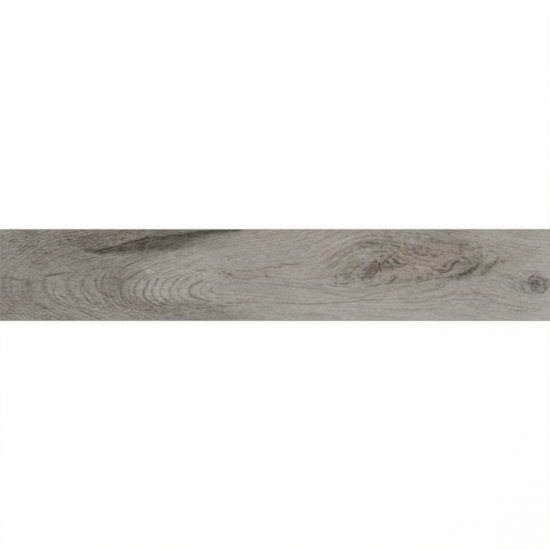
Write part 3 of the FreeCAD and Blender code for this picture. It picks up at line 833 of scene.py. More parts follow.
@dataclass(frozen=True)
class OakFigure:
    """The oak board that the print copies: its rings, its fibres' flow and its knots.

    A flat-sawn board cuts the growth rings as nested arches. Each ring is a cylinder round the
    pith, which lies below the board at a depth that shrinks to the right, so a ring's radius at
    a place is found from the depth there and the distance from the arches' axis.

    Lengths are millimetres. A stroke has a soft core and a wider, fainter halo, and gets
    thinner and paler towards its ends.
    """

    ring_spacing: float = 5.8
    board_start: float = -272.7
    patch_edge: float = 0.5
    stroke_reach: float = 3.4
    halo: float = 2.6
    halo_share: float = 0.3
    taper: float = 5.0
    end_ink: float = 0.25
    end_width: float = 0.55

    def axis(self, x: np.ndarray) -> np.ndarray:
        """Height of the arches' axis at each x."""
        return np.interp(x, *zip(*ARCH_AXIS))

    def depth(self, x: np.ndarray) -> np.ndarray:
        """Depth of the pith below the face at each x."""
        return np.interp(x, *zip(*ARCH_DEPTH))

    def flow(self, x: np.ndarray, y: np.ndarray) -> tuple[np.ndarray, np.ndarray]:
        """Follows the fibres from each place to where they run straight.

        Args:
            x: Places along the length.
            y: Places across the width.

        Returns:
            Each place's height where its fibre passes the board's straight part, and its height
            on average over the whole length.
        """
        lines = np.array([smooth_heights(x, FLOW_STATIONS, heights) for heights in FLOW_LINES])
        straight = np.array([np.interp(self.board_start, FLOW_STATIONS, h) for h in FLOW_LINES])
        mean = np.array([np.mean(h) for h in FLOW_LINES])
        level = np.empty_like(x)
        average = np.empty_like(x)
        for i in range(len(x)):
            order = lines[::-1, i]
            level[i] = np.interp(y[i], order, straight[::-1])
            average[i] = np.interp(y[i], order, mean[::-1])
        return level, average

    def rings(self, x: np.ndarray, y: np.ndarray, level: np.ndarray) -> np.ndarray:
        """Counts the growth rings from the pith to each place.

        Args:
            x: Places along the length.
            y: Places across the width.
            level: Heights of the places' fibres in the straight part.

        Returns:
            Ring counts, whose whole numbers are the dark late wood.
        """
        height = np.where(x < self.board_start, y, level)
        spread = np.interp(np.abs(height - self.axis(x)), *zip(*RING_SPREAD))
        radius = np.hypot(spread, self.depth(x))
        return radius / self.ring_spacing

    def patches(self, x: np.ndarray, y: np.ndarray, patches: tuple[Patch, ...]) -> np.ndarray:
        """Adds up soft patches.

        Args:
            x: Places along the length.
            y: Places across the width.
            patches: Patches to add.

        Returns:
            Sum of the patches' amounts at each place.
        """
        total = np.zeros_like(x)
        for patch in patches:
            turn = math.radians(patch.tilt)
            along = (x - patch.x) * math.cos(turn) + (y - patch.y) * math.sin(turn)
            across = (y - patch.y) * math.cos(turn) - (x - patch.x) * math.sin(turn)
            total += patch.amount * np.exp(
                -self.patch_edge * ((along / patch.reach_x) ** 2 + (across / patch.reach_y) ** 2)
            )
        return total

    def nearest(self, x: np.ndarray, y: np.ndarray,
                line: np.ndarray) -> tuple[np.ndarray, np.ndarray, float]:
        """Finds how far each place is from a line, and where on the line it is nearest.

        Args:
            x: Places along the length.
            y: Places across the width.
            line: The line's places, one row each.

        Returns:
            Distances from the line, runs along the line to the nearest place, and the whole
            line's length.
        """
        spans = np.diff(line, axis=0)
        lengths = np.hypot(*spans.T)
        runs = np.concatenate([[0], np.cumsum(lengths)])
        gap = np.full(len(x), np.inf)
        run = np.zeros(len(x))
        for start, span, length, before in zip(line, spans, lengths, runs):
            dx, dy = x - start[0], y - start[1]
            t = np.clip((dx * span[0] + dy * span[1]) / length**2, 0, 1)
            away = np.hypot(dx - t * span[0], dy - t * span[1])
            closer = away < gap
            gap = np.where(closer, away, gap)
            run = np.where(closer, before + t * length, run)
        return gap, run, runs[-1]

    def strokes(self, x: np.ndarray, y: np.ndarray, tint: Tint | None = None) -> np.ndarray:
        """Draws the brushed marks over each other.

        Args:
            x: Places along the length.
            y: Places across the width.
            tint: Only the marks in this tint, or all of them.

        Returns:
            Ink at each place, from 0 to 1.
        """
        bare = np.ones_like(x)
        for stroke in (s for group in STROKES.values() for s in group):
            if tint is not None and stroke.tint is not tint:
                continue
            line = smooth_line(stroke.points)
            reach = self.stroke_reach * stroke.width
            near = np.flatnonzero(
                (x > line[:, 0].min() - reach) & (x < line[:, 0].max() + reach)
                & (y > line[:, 1].min() - reach) & (y < line[:, 1].max() + reach)
            )
            gap, run, length = self.nearest(x[near], y[near], line)
            taper = min(max(self.taper, stroke.width), length / 3)
            ends = fade(np.minimum(run, length - run), 0, taper)
            ends = self.end_ink + (1 - self.end_ink) * ends
            width = stroke.width * (self.end_width + (1 - self.end_width) * ends)
            core = np.exp(-math.log(2) * (2 * gap / width) ** 2)
            rim = np.exp(-math.log(2) * (2 * gap / (self.halo * width)) ** 2)
            bare[near] *= 1 - stroke.ink * ends * (core + self.halo_share * (rim - core))
        return 1 - bare


def feed(tree: bpy.types.NodeTree, target: bpy.types.Node, inputs: dict) -> None:
    """Fills or links the inputs of a node.

    Args:
        tree: Node tree that the node is in.
        target: Node to feed.
        inputs: What each input holds: a value, a socket that feeds it, or a node whose first
            output in use feeds it.
    """
    for name, value in inputs.items():
        if isinstance(value, bpy.types.Node):
            value = next(socket for socket in value.outputs if socket.enabled)
        if isinstance(value, bpy.types.NodeSocket):
            tree.links.new(value, target.inputs[name])
        else:
            target.inputs[name].default_value = value


def node(tree: bpy.types.NodeTree, kind: str, inputs: dict | None = None,
         stops: tuple = (), **settings) -> bpy.types.Node:
    """Adds a node with its settings and links.

    Args:
        tree: Node tree to add it to.
        kind: Blender's name for the kind of node.
        inputs: What each input holds, as in feed.
        stops: Places and colours of a ramp, from left to right.
        **settings: The node's own properties.

    Returns:
        The new node.
    """
    made = tree.nodes.new(kind)
    for name, value in settings.items():
        setattr(made, name, value)
    feed(tree, made, inputs or {})
    for i, (place, colour) in enumerate(stops):
        elements = made.color_ramp.elements
        stop = elements[i] if i in (0, len(stops) - 1) else elements.new(place)
        stop.position = place
        stop.color = colour
    return made


def start_material(name: str) -> tuple[bpy.types.Material, bpy.types.NodeTree, bpy.types.Node]:
    """Starts a material with nodes.

    Args:
        name: What the material is in reality.

    Returns:
        The material, its node tree and its shader.
    """
    material = bpy.data.materials.new(name)
    material.use_nodes = True
    return material, material.node_tree, material.node_tree.nodes["Principled BSDF"]


@dataclass(frozen=True)
class Noise:
    """One of the print's noises: its real size along and across the fibres, in millimetres."""

    along: float
    across: float
    detail: float
    seed: float
    roughness: float = 0.6


@dataclass(frozen=True)
class OakPrint:
    """Matt glaze over an inkjet print of weathered oak, embossed in register with it.

    The print is fired under a thin matt glaze, so the eye sees a grey-brown wood figure with
    short dark pores, on a surface with hardly any shine that catches light along its grain.
    """

    # Tones of the print, and the ink that gives each
    inks: tuple[tuple[float, str], ...] = (
        (0.14, "030302"), (0.2, "1B1408"), (0.25, "302A1D"), (0.3, "423C32"), (0.36, "554F45"),
        (0.42, "676156"), (0.48, "777268"), (0.54, "878279"), (0.6, "97938A"), (0.66, "A7A39B"),
        (0.72, "B6B3AC"), (0.8, "CBC8C1"),
    )
    warm: str = "FFECD6"
    cool: str = "E4EEFF"
    slate: str = "CFE0F4"
    blush: str = "FFF1EC"
    moss: str = "EEF2E0"
    # Places from one ring to the next, and how much late wood is there
    late_wood: tuple[Point, ...] = (
        (0.0, 1.0), (0.12, 0.75), (0.3, 0.25), (0.55, 0.0), (0.8, 0.15), (0.93, 0.7), (1.0, 1.0),
    )
    # Oak's fibres and pores are under half a millimetre wide, and a pixel of the render is
    # 2.2 mm, so both are drawn as coarse as they need to be to show
    fibre: Noise = Noise(18.0, 1.7, 4.0, 3.1)
    pore: Noise = Noise(4.4, 1.5, 3.0, 17.7)
    streak: Noise = Noise(110.0, 4.2, 2.0, 29.3)
    mottle: Noise = Noise(60.0, 14.0, 2.0, 41.3)
    # Faint ticks across the board, like saw marks
    grit: Noise = Noise(2.3, 8.0, 1.0, 67.1)
    wobble: Noise = Noise(60.0, 60.0, 1.0, 53.9)
    # How far the noises push the rings, in ring widths
    ring_wobble: float = 0.7
    ring_fray: float = 0.2
    ring_shift: float = 0.9
    # How fast one ring differs from the next, and how bold the faintest and the boldest are
    ring_change: float = 0.55
    change_range: Point = (0.3, 0.7)
    boldness: Point = (0.45, 1.5)
    ring_gaps: float = -2.6
    # How the edges of the brushed marks are torn by the fibres and the pores
    fibre_tears: float = 0.7
    pore_tears: float = 0.4
    tearing: float = -4.0
    figure_ink: float = -0.62
    # What each noise adds to the tone
    tone_gains: tuple[tuple[str, float], ...] = (
        ("mottle", 0.08), ("streak", 0.08), ("dashes", 0.36), ("specks", 0.52), ("grit", 0.1),
    )
    warm_gain: float = -1.7
    cool_gain: float = 2.8
    hue_gain: float = 2.5
    ring_groove: float = -2.0
    pore_depth: float = 0.12
    relief: float = 0.35
    roughness: float = 0.62
    rough_gain: float = 0.35
    shine: float = 0.35

    def build(self) -> bpy.types.Material:
        """Makes the material.

        Returns:
            The finished material.
        """
        material, tree, shader = start_material("matt_glazed_oak_print")
        read = {}
        for layer in Layer:
            output = "Vector" if layer is Layer.GRAIN else "Fac"
            attribute = node(tree, "ShaderNodeAttribute", attribute_name=layer.value)
            read[layer] = attribute.outputs[output]
        swing = self.noises(tree, read)
        rings = self.ring_lines(tree, read, swing)
        tone = self.tone(tree, read, swing, rings)
        height = node(tree, MATH, {0: rings, 1: self.ring_groove, 2: swing["dashes"]},
                      operation="MULTIPLY_ADD")
        height = node(tree, MATH, {0: height, 1: swing["specks"]}, operation="ADD")
        feed(tree, shader, {
            "Base Color": self.colour(tree, read, swing, tone),
            "Normal": node(tree, "ShaderNodeBump", {
                "Strength": self.relief, "Distance": self.pore_depth * MM, "Height": height,
            }),
            "Roughness": node(tree, MATH, {
                0: swing["fibre"], 1: self.rough_gain, 2: self.roughness,
            }, operation="MULTIPLY_ADD"),
            "IOR": IOR,
            "Specular IOR Level": self.shine,
        })
        return material

    def noises(self, tree: bpy.types.NodeTree, read: Sockets) -> Nodes:
        """Adds the print's noises, most of them drawn out along the fibres.

        Args:
            tree: Node tree to add them to.
            read: What the vertices tell the print.

        Returns:
            The noises by name, each swinging evenly round 0.
        """
        grain = read[Layer.GRAIN]
        place = node(tree, "ShaderNodeTexCoord").outputs["Object"]
        swing = {}
        for name, source, noise in (
            ("fibre", grain, self.fibre),
            ("pore", grain, self.pore),
            ("streak", grain, self.streak),
            ("mottle", grain, self.mottle),
            ("grit", place, self.grit),
            ("wobble", place, self.wobble),
        ):
            drawn_out = node(tree, "ShaderNodeVectorMath", {
                0: source,
                1: (1 / (noise.along * MM), 1 / (noise.across * MM), 1.0),
                2: (noise.seed, noise.seed, noise.seed),
            }, operation="MULTIPLY_ADD")
            wave = node(tree, NOISE, {
                "Vector": drawn_out, "Scale": 1.0, "Detail": noise.detail,
                "Roughness": noise.roughness,
            })
            swing[name] = node(tree, MATH, {0: wave, 1: 0.5}, operation="SUBTRACT")
        for name, source in (("dashes", "fibre"), ("specks", "pore")):
            swing[name] = node(tree, MATH, {0: swing[source], 1: read[Layer.FIBRE_INK]},
                               operation="MULTIPLY")
        return swing

    def ring_lines(self, tree: bpy.types.NodeTree, read: Sockets, swing: Nodes) -> bpy.types.Node:
        """Draws the rings' dark late wood, wavering, uneven and broken up by the fibres.

        Args:
            tree: Node tree to add it to.
            read: What the vertices tell the print.
            swing: The print's noises.

        Returns:
            How much darker the late wood makes the print.
        """
        count = read[Layer.RING]
        for name, gain in (("wobble", self.ring_wobble), ("fibre", self.ring_fray)):
            count = node(tree, MATH, {0: swing[name], 1: gain, 2: count},
                         operation="MULTIPLY_ADD")
        uneven = node(tree, NOISE, {"W": count, "Scale": self.ring_change, "Detail": 1.0},
                      noise_dimensions="1D")
        count = node(tree, MATH, {0: uneven, 1: self.ring_shift, 2: count},
                     operation="MULTIPLY_ADD")
        phase = node(tree, MATH, {0: count}, operation="FRACT")
        late = node(tree, "ShaderNodeValToRGB", {0: phase},
                    [(at, (dark, dark, dark, 1.0)) for at, dark in self.late_wood])
        bold = node(tree, RANGE, dict(enumerate((uneven, *self.change_range, *self.boldness))))
        broken = node(tree, MATH, {0: swing["fibre"], 1: self.ring_gaps, 2: bold},
                      operation="MULTIPLY_ADD")
        for share in (broken, read[Layer.RING_INK]):
            late = node(tree, MATH, {0: late, 1: share}, operation="MULTIPLY")
        return late

    def tone(self, tree: bpy.types.NodeTree, read: Sockets, swing: Nodes,
             rings: bpy.types.Node) -> bpy.types.Node:
        """Adds up the print's tone, and draws the brushed marks over it.

        Args:
            tree: Node tree to add it to.
            read: What the vertices tell the print.
            swing: The print's noises.
            rings: How much darker the late wood makes the print.

        Returns:
            Tone, from 0, black, to 1, white.
        """
        figure = read[Layer.FIGURE]
        solid = node(tree, MATH, {0: 1.0, 1: figure}, operation="SUBTRACT")
        edge = node(tree, MATH, {0: figure, 1: solid}, operation="MULTIPLY")
        torn = node(tree, MATH, {0: swing["fibre"], 1: self.fibre_tears}, operation="MULTIPLY")
        torn = node(tree, MATH, {0: swing["pore"], 1: self.pore_tears, 2: torn},
                    operation="MULTIPLY_ADD")
        torn = node(tree, MATH, {0: torn, 1: edge}, operation="MULTIPLY")
        frayed = node(tree, MATH, {0: torn, 1: self.tearing, 2: figure},
                      operation="MULTIPLY_ADD", use_clamp=True)
        bare = node(tree, MATH, {0: frayed, 1: self.figure_ink, 2: 1.0},
                    operation="MULTIPLY_ADD")
        tone = read[Layer.TONE]
        for name, gain in self.tone_gains:
            tone = node(tree, MATH, {0: swing[name], 1: gain, 2: tone}, operation="MULTIPLY_ADD")
        tone = node(tree, MATH, {0: tone, 1: rings}, operation="SUBTRACT")
        return node(tree, MATH, {0: tone, 1: bare}, operation="MULTIPLY")

    def colour(self, tree: bpy.types.NodeTree, read: Sockets, swing: Nodes,
               tone: bpy.types.Node) -> bpy.types.Node:
        """Turns the tone to ink, and lets its hue play from place to place.

        Args:
            tree: Node tree to add it to.
            read: What the vertices tell the print.
            swing: The print's noises.
            tone: Tone of the print.

        Returns:
            The print's colour.
        """
        colour = node(tree, "ShaderNodeValToRGB", {0: tone},
                      [(at, linear(ink)) for at, ink in self.inks])
        shares = []
        for name, gain, base, tint in (
            ("fibre", self.warm_gain, read[Layer.WARMTH], self.warm),
            ("pore", self.cool_gain, 0.0, self.cool),
            ("streak", self.hue_gain, 0.0, self.blush),
            ("streak", -self.hue_gain, 0.0, self.moss),
        ):
            share = node(tree, MATH, {0: swing[name], 1: gain, 2: base},
                         operation="MULTIPLY_ADD", use_clamp=True)
            shares.append((share, tint))
        for share, tint in (*shares, (read[Layer.SLATE], self.slate)):
            colour = node(tree, MIX, {0: share, MIX_A: colour, MIX_B: linear(tint)},
                          data_type="RGBA", blend_type="MULTIPLY")
        return colour


@dataclass(frozen=True)
class GroundBody:
    """Bare porcelain body, ground square after firing.

    Fired clay, feldspar and quartz: a dense pale grey-beige with fine darker specks, and the
    fine lines that the grinding wheels leave along the edge. Sizes are millimetres.
    """

    body: str = "918B81"
    speck: str = "6B655B"
    roughness: float = 0.7
    speck_size: float = 0.6
    speck_range: Point = (0.58, 0.72)
    speck_share: float = 0.8
    cloud_size: float = 55.56
    cloud_range: Point = (0.3, 0.7)
    cloud_share: float = 0.25
    line_spacing: float = 0.5
    line_length: float = 125.0
    line_depth: float = 0.02
    relief: float = 0.5

    def build(self) -> bpy.types.Material:
        """Makes the material.

        Returns:
            The finished material.
        """
        material, tree, shader = start_material("ground_porcelain_body")
        place = node(tree, "ShaderNodeTexCoord").outputs["Object"]
        shares = []
        for size, detail, (low, high), most in (
            (self.speck_size, 2.0, self.speck_range, self.speck_share),
            (self.cloud_size, 3.0, self.cloud_range, self.cloud_share),
        ):
            noise = node(tree, NOISE, {
                "Vector": place, "Scale": 1 / (size * MM), "Detail": detail,
            })
            shares.append(node(tree, RANGE, {0: noise, 1: low, 2: high, 3: 0.0, 4: most}))
        share = node(tree, MATH, dict(enumerate(shares)), operation="ADD")
        along = 1 / (self.line_length * MM)
        drawn_out = node(tree, "ShaderNodeVectorMath", {
            0: place, 1: (along, along, 1 / (self.line_spacing * MM)),
        }, operation="MULTIPLY")
        lines = node(tree, NOISE, {"Vector": drawn_out, "Scale": 1.0, "Detail": 3.0})
        feed(tree, shader, {
            "Base Color": node(tree, MIX, {
                0: share, MIX_A: linear(self.body), MIX_B: linear(self.speck),
            }, data_type="RGBA"),
            "Normal": node(tree, "ShaderNodeBump", {
                "Strength": self.relief, "Distance": self.line_depth * MM, "Height": lines,
            }),
            "Roughness": self.roughness,
            "IOR": IOR,
        })
        return material


@dataclass(frozen=True)
class WashedBack:
    """Back of the pressed body as it leaves the kiln, with alumina wash on its ribs.

    Dry-pressed porcelain that was never glazed: dull and slightly sandy, with a thin white
    refractory wash where the ribs ran on the kiln's rollers. Sizes are millimetres.
    """

    body: str = "8C867B"
    wash: str = "C4C1B9"
    speck: str = "655F55"
    roughness: float = 0.85
    sand_size: float = 0.9
    sand_depth: float = 0.1
    sand_range: Point = (0.56, 0.74)
    speck_share: float = 0.7
    relief: float = 0.6
    wash_height: float = 0.25
    wash_width: float = 30.0
    wash_stretch: float = 0.35
    wash_range: Point = (0.38, 0.62)
    least_wash: float = 0.25

    def build(self) -> bpy.types.Material:
        """Makes the material.

        Returns:
            The finished material.
        """
        material, tree, shader = start_material("kiln_washed_back")
        place = node(tree, "ShaderNodeTexCoord").outputs["Object"]
        low = node(tree, "ShaderNodeSeparateXYZ", {0: place}).outputs["Z"]
        ribs = node(tree, RANGE, {0: low, 1: self.wash_height * MM, 2: 0.0, 3: 0.0, 4: 1.0})
        drawn_out = node(tree, "ShaderNodeVectorMath", {
            0: place, 1: (self.wash_stretch, 1.0, 1.0),
        }, operation="MULTIPLY")
        patches = node(tree, NOISE, {
            "Vector": drawn_out, "Scale": 1 / (self.wash_width * MM), "Detail": 4.0,
            "Roughness": 0.6,
        })
        worn = node(tree, RANGE, dict(enumerate((patches, *self.wash_range, self.least_wash, 1.0))))
        share = node(tree, MATH, {0: ribs, 1: worn}, operation="MULTIPLY")
        sand = node(tree, NOISE, {
            "Vector": place, "Scale": 1 / (self.sand_size * MM), "Detail": 3.0,
        })
        dark = node(tree, RANGE, dict(enumerate((sand, *self.sand_range, 0.0, self.speck_share))))
        colour = linear(self.body)
        for amount, over in ((dark, self.speck), (share, self.wash)):
            colour = node(tree, MIX, {0: amount, MIX_A: colour, MIX_B: linear(over)},
                          data_type="RGBA")
        feed(tree, shader, {
            "Base Color": colour,
            "Normal": node(tree, "ShaderNodeBump", {
                "Strength": self.relief, "Distance": self.sand_depth * MM, "Height": sand,
            }),
            "Roughness": self.roughness,
            "IOR": IOR,
        })
        return material


def deselect_all() -> None:
    """Leaves edit mode if it is on, and deselects every object."""
    if bpy.context.mode != "OBJECT":
        bpy.ops.object.mode_set(mode="OBJECT")
    bpy.ops.object.select_all(action="DESELECT")


def select_only(*objects: bpy.types.Object) -> None:
    """Selects these objects alone, and makes the first one active.

    Args:
        *objects: Objects to select.
    """
    deselect_all()
    for thing in objects:
        thing.select_set(True)
    bpy.context.view_layer.objects.active = objects[0]


def edit_with(mode: str, action: str) -> None:
    """Enters edit mode, and selects all of the mesh or nothing.

    Args:
        mode: What is selected from here on, EDGE or FACE.
        action: SELECT or DESELECT.
    """
    bpy.ops.object.mode_set(mode="EDIT")
    bpy.ops.mesh.select_mode(type=mode)
    bpy.ops.mesh.select_all(action=action)


def gather(items: bpy.types.bpy_prop_collection, name: str, width: int = 1,
           kind: type = float) -> np.ndarray:
    """Reads one property of a mesh's corners, faces or vertices.

    Args:
        items: The mesh's items.
        name: Blender's name for the property.
        width: How many numbers each item has.
        kind: Type of the numbers.

    Returns:
        The numbers, in one row for each item if it has several.
    """
    flat = np.empty(len(items) * width, kind)
    items.foreach_get(name, flat)
    return flat.reshape(-1, width) if width > 1 else flat


@dataclass(frozen=True)
class TileBody:
    """The tile's mesh: embossed face, ground arrises and edges, and keyed back.

    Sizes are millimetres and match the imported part. The map's fields are in parts of the square
    map that the materials are baked to: a start and a span, a height, or a drop per millimetre.
    """

    length: float = 1200.0
    width: float = 200.0
    thickness: float = 9.0
    face_bevel: float = 0.8
    back_bevel: float = 0.5
    columns: int = 520
    rows: int = 165
    detail_steps: int = 4001
    detail_fade: float = 15.0
    rim: float = 9.0
    cell_columns: int = 38
    cell_rows: int = 6
    rib: float = 4.0
    cell_depth: float = 0.8
    cell_corner: float = 4.0
    cell_slope: float = 35.0
    weld: float = 0.01
    emboss: float = 0.16
    ring_press: float = 6.0
    calm_border: float = 3.0
    olive_warmth: float = 0.3
    slate_wash: float = 0.4
    level_up: float = 0.8
    back_border: float = 0.6
    smooth_angle: float = 30.0
    map_length: Point = (0.004, 0.992)
    map_face: Point = (0.335, 0.66)
    map_back: Point = (0.095, 0.225)
    map_left: Point = (0.01, 0.3)
    map_right: Point = (0.35, 0.3)
    map_near: float = 0.070
    map_far: float = 0.045
    map_ends: float = 0.020
    map_drop: float = 0.0018
    figure: OakFigure = OakFigure()

    def build(self) -> bpy.types.Object:
        """Models the whole tile.

        Returns:
            The tile's object, at the origin.
        """
        tile = self.model_face()
        self.model_edges(tile)
        back = self.model_back()
        self.close_back(tile, back)
        tile.name = tile.data.name = "porcelain_tile"
        self.paint_layers(tile)
        self.sort_sides(tile)
        self.unwrap(tile)
        return tile

    def column_places(self) -> np.ndarray:
        """Spreads the face's columns, closer together where the print has more detail.

        Returns:
            Place along the length of each column of vertices, in millimetres.
        """
        half = self.length / 2 - self.face_bevel
        fine = np.linspace(-half, half, self.detail_steps)
        weight = np.full_like(fine, 1.0)
        for low, high, gain in DETAIL_SPANS:
            rise = fade(fine, low - self.detail_fade, low)
            weight += gain * rise * fade(fine, high + self.detail_fade, high)
        share = np.concatenate([[0], np.cumsum((weight[1:] + weight[:-1]) / 2)])
        return np.interp(np.linspace(0, share[-1], self.columns + 1), share, fine)

    def model_face(self) -> bpy.types.Object:
        """Models the face as a fine sheet, up to its arrises.

        Returns:
            The sheet's object.
        """
        deselect_all()
        bpy.ops.mesh.primitive_grid_add(
            x_subdivisions=self.columns, y_subdivisions=self.rows, size=1.0,
        )
        tile = bpy.context.object
        co = gather(tile.data.vertices, "co", 3)
        across = self.column_places()
        half = self.width / 2 - self.face_bevel
        index = np.rint((co[:, 0] + 0.5) * self.columns).astype(int)
        co[:, 0] = across[index] * MM
        co[:, 1] *= 2 * half * MM
        co[:, 2] = self.thickness * MM
        tile.data.vertices.foreach_set("co", co.ravel())
        tile.data.update()
        return tile

    def model_edges(self, tile: bpy.types.Object) -> None:
        """Extrudes the face's border down to the back: arris, ground edge, and back arris.

        Args:
            tile: The face's sheet.
        """
        half_l, half_w = self.length / 2, self.width / 2
        steps = (
            (half_l, half_w, self.face_bevel),
            (half_l, half_w, self.thickness - self.face_bevel - self.back_bevel),
            (half_l - self.back_bevel, half_w - self.back_bevel, self.back_bevel),
        )
        select_only(tile)
        edit_with("EDGE", "DESELECT")
        bpy.ops.mesh.select_non_manifold()
        at_l, at_w = half_l - self.face_bevel, half_w - self.face_bevel
        for to_l, to_w, drop in steps:
            bpy.ops.mesh.extrude_edges_indiv()
            bpy.ops.transform.resize(
                value=(to_l / at_l, to_w / at_w, 1.0), center_override=(0.0, 0.0, 0.0),
            )
            bpy.ops.transform.translate(value=(0.0, 0.0, -drop * MM))
            at_l, at_w = to_l, to_w
        bpy.ops.object.mode_set(mode="OBJECT")

    def model_back(self) -> bpy.types.Object:
        """Models one keying cell with half a rib round it, and repeats it both ways.

        Returns:
            The back's object: all cells, in place.
        """
        columns, rows = self.cell_columns, self.cell_rows
        cell_l = (self.length - 2 * self.rim - (columns - 1) * self.rib) / columns
        cell_w = (self.width - 2 * self.rim - (rows - 1) * self.rib) / rows
        pitch_l, pitch_w = (cell_l + self.rib) * MM, (cell_w + self.rib) * MM
        first = (-(columns - 1) / 2 * pitch_l, -(rows - 1) / 2 * pitch_w, 0.0)
        draw_in = self.cell_depth * math.tan(math.radians(self.cell_slope)) * MM
        deselect_all()
        bpy.ops.mesh.primitive_plane_add(size=1.0, location=first)
        back = bpy.context.object
        back.scale = (pitch_l, pitch_w, 1.0)
        bpy.ops.object.transform_apply(location=True, rotation=True, scale=True)
        edit_with("FACE", "SELECT")
        bpy.ops.mesh.inset(thickness=self.rib / 2 * MM)
        bpy.ops.mesh.extrude_region_move(
            TRANSFORM_OT_translate={"value": (0.0, 0.0, self.cell_depth * MM)},
        )
        inner = (1 - 2 * draw_in / (cell_l * MM), 1 - 2 * draw_in / (cell_w * MM), 1.0)
        bpy.ops.transform.resize(value=inner, center_override=first)
        bpy.ops.object.mode_set(mode="OBJECT")
        self.round_corners(back)
        for count, offset in ((columns, (pitch_l, 0.0, 0.0)), (rows, (0.0, pitch_w, 0.0))):
            array = back.modifiers.new("cells", "ARRAY")
            array.count = count
            array.use_relative_offset = False
            array.use_constant_offset = True
            array.constant_offset_displace = offset
            array.use_merge_vertices = True
            array.merge_threshold = self.weld * MM
            bpy.ops.object.modifier_apply(modifier=array.name)
        return back

    def round_corners(self, back: bpy.types.Object) -> None:
        """Rounds the four drafted corners of the first cell.

        Args:
            back: The first cell.
        """
        mesh = back.data
        edit_with("EDGE", "DESELECT")
        bpy.ops.object.mode_set(mode="OBJECT")
        for edge in mesh.edges:
            rise = [mesh.vertices[v].co.z for v in edge.vertices]
            edge.select = abs(rise[0] - rise[1]) > self.cell_depth * MM / 2
        bpy.ops.object.mode_set(mode="EDIT")
        bpy.ops.mesh.bevel(
            offset=self.cell_corner * MM, offset_type="OFFSET", segments=2, affect="EDGES",
            clamp_overlap=False,
        )
        bpy.ops.object.mode_set(mode="OBJECT")

    def close_back(self, tile: bpy.types.Object, back: bpy.types.Object) -> None:
        """Joins the back to the edges, and fills the rim between them.

        Args:
            tile: Face and edges, which the back becomes a part of.
            back: All the cells.
        """
        select_only(tile, back)
        bpy.ops.object.join()
        edit_with("EDGE", "DESELECT")
        bpy.ops.mesh.select_non_manifold()
        bpy.ops.mesh.fill(use_beauty=False)
        bpy.ops.mesh.select_all(action="SELECT")
        bpy.ops.mesh.normals_make_consistent(inside=False)
        bpy.ops.object.mode_set(mode="OBJECT")

    def paint_layers(self, tile: bpy.types.Object) -> None:
        """Works out the print at each vertex, stores it, and presses the emboss in with it.

        Args:
            tile: The tile.
        """
        co = gather(tile.data.vertices, "co", 3)
        x, y = co[:, 0] / MM, co[:, 1] / MM
        board = self.figure
        level, average = board.flow(x, y)
        ring = board.rings(x, y, level)
        ring_ink = board.patches(x, y, RING_PATCHES)
        figure = board.strokes(x, y)
        warmth = self.olive_warmth * board.strokes(x, y, Tint.OLIVE)
        coolth = self.slate_wash * board.strokes(x, y, Tint.SLATE)
        for layer, values in (
            (Layer.RING, ring),
            (Layer.RING_INK, ring_ink),
            (Layer.FIBRE_INK, FIBRE_INK + board.patches(x, y, FIBRE_PATCHES)),
            (Layer.TONE, BASE_TONE + board.patches(x, y, TONE_PATCHES)),
            (Layer.FIGURE, figure),
            (Layer.WARMTH, np.clip(board.patches(x, y, WARM_PATCHES) + warmth, 0, 1)),
            (Layer.SLATE, np.clip(board.patches(x, y, SLATE_PATCHES) + coolth, 0, 1)),
        ):
            made = tile.data.attributes.new(layer.value, "FLOAT", "POINT")
            made.data.foreach_set("value", values.astype(np.float32))
        grain = np.column_stack([x * MM, average * MM, np.zeros_like(x)])
        made = tile.data.attributes.new(Layer.GRAIN.value, "FLOAT_VECTOR", "POINT")
        made.data.foreach_set("vector", grain.astype(np.float32).ravel())
        late = np.cos(2 * math.pi * ring) * 0.5 + 0.5
        depth = self.emboss * MM * np.clip(late * ring_ink * self.ring_press + figure, 0, 1)
        border = np.minimum(
            self.length / 2 - self.face_bevel - np.abs(x),
            self.width / 2 - self.face_bevel - np.abs(y),
        )
        on_face = co[:, 2] > (self.thickness - self.weld) * MM
        co[:, 2] -= np.where(on_face, depth * fade(border, 0.0, self.calm_border), 0.0)
        tile.data.vertices.foreach_set("co", co.ravel())
        tile.data.update()

    def sort_sides(self, tile: bpy.types.Object) -> None:
        """Gives each face of the mesh the slot of its side, and smooths the shading.

        Args:
            tile: The tile.
        """
        for finish in (OakPrint(), GroundBody(), WashedBack()):
            tile.data.materials.append(finish.build())
        faces = tile.data.polygons
        centre, up = gather(faces, "center", 3), gather(faces, "normal", 3)[:, 2]
        high = centre[:, 2] > (self.thickness - self.face_bevel / 2) * MM
        low = centre[:, 2] < 2 * self.cell_depth * MM
        reach = (np.array([self.length, self.width]) / 2 - self.back_border) * MM
        inside = (np.abs(centre[:, :2]) < reach).all(axis=1)
        side = np.full(len(faces), Side.EDGE.value)
        side[high & (up > self.level_up)] = Side.FACE.value
        side[low & inside] = Side.BACK.value
        faces.foreach_set("material_index", side.astype(np.int32))
        select_only(tile)
        bpy.ops.object.shade_smooth_by_angle(angle=math.radians(self.smooth_angle))

    def unwrap(self, tile: bpy.types.Object) -> None:
        """Lays the tile's sides out on one square map, most of it for the face.

        Args:
            tile: The tile.
        """
        mesh = tile.data
        corners = gather(mesh.polygons, "loop_total", kind=np.int32)
        side = np.repeat(gather(mesh.polygons, "material_index", kind=np.int32), corners)
        towards = np.repeat(gather(mesh.polygons, "normal", 3), corners, axis=0)
        vertex = gather(mesh.loops, "vertex_index", kind=np.int32)
        x, y, z = (gather(mesh.vertices, "co", 3)[vertex] / MM).T
        along, across = x / self.length + 0.5, y / self.width + 0.5
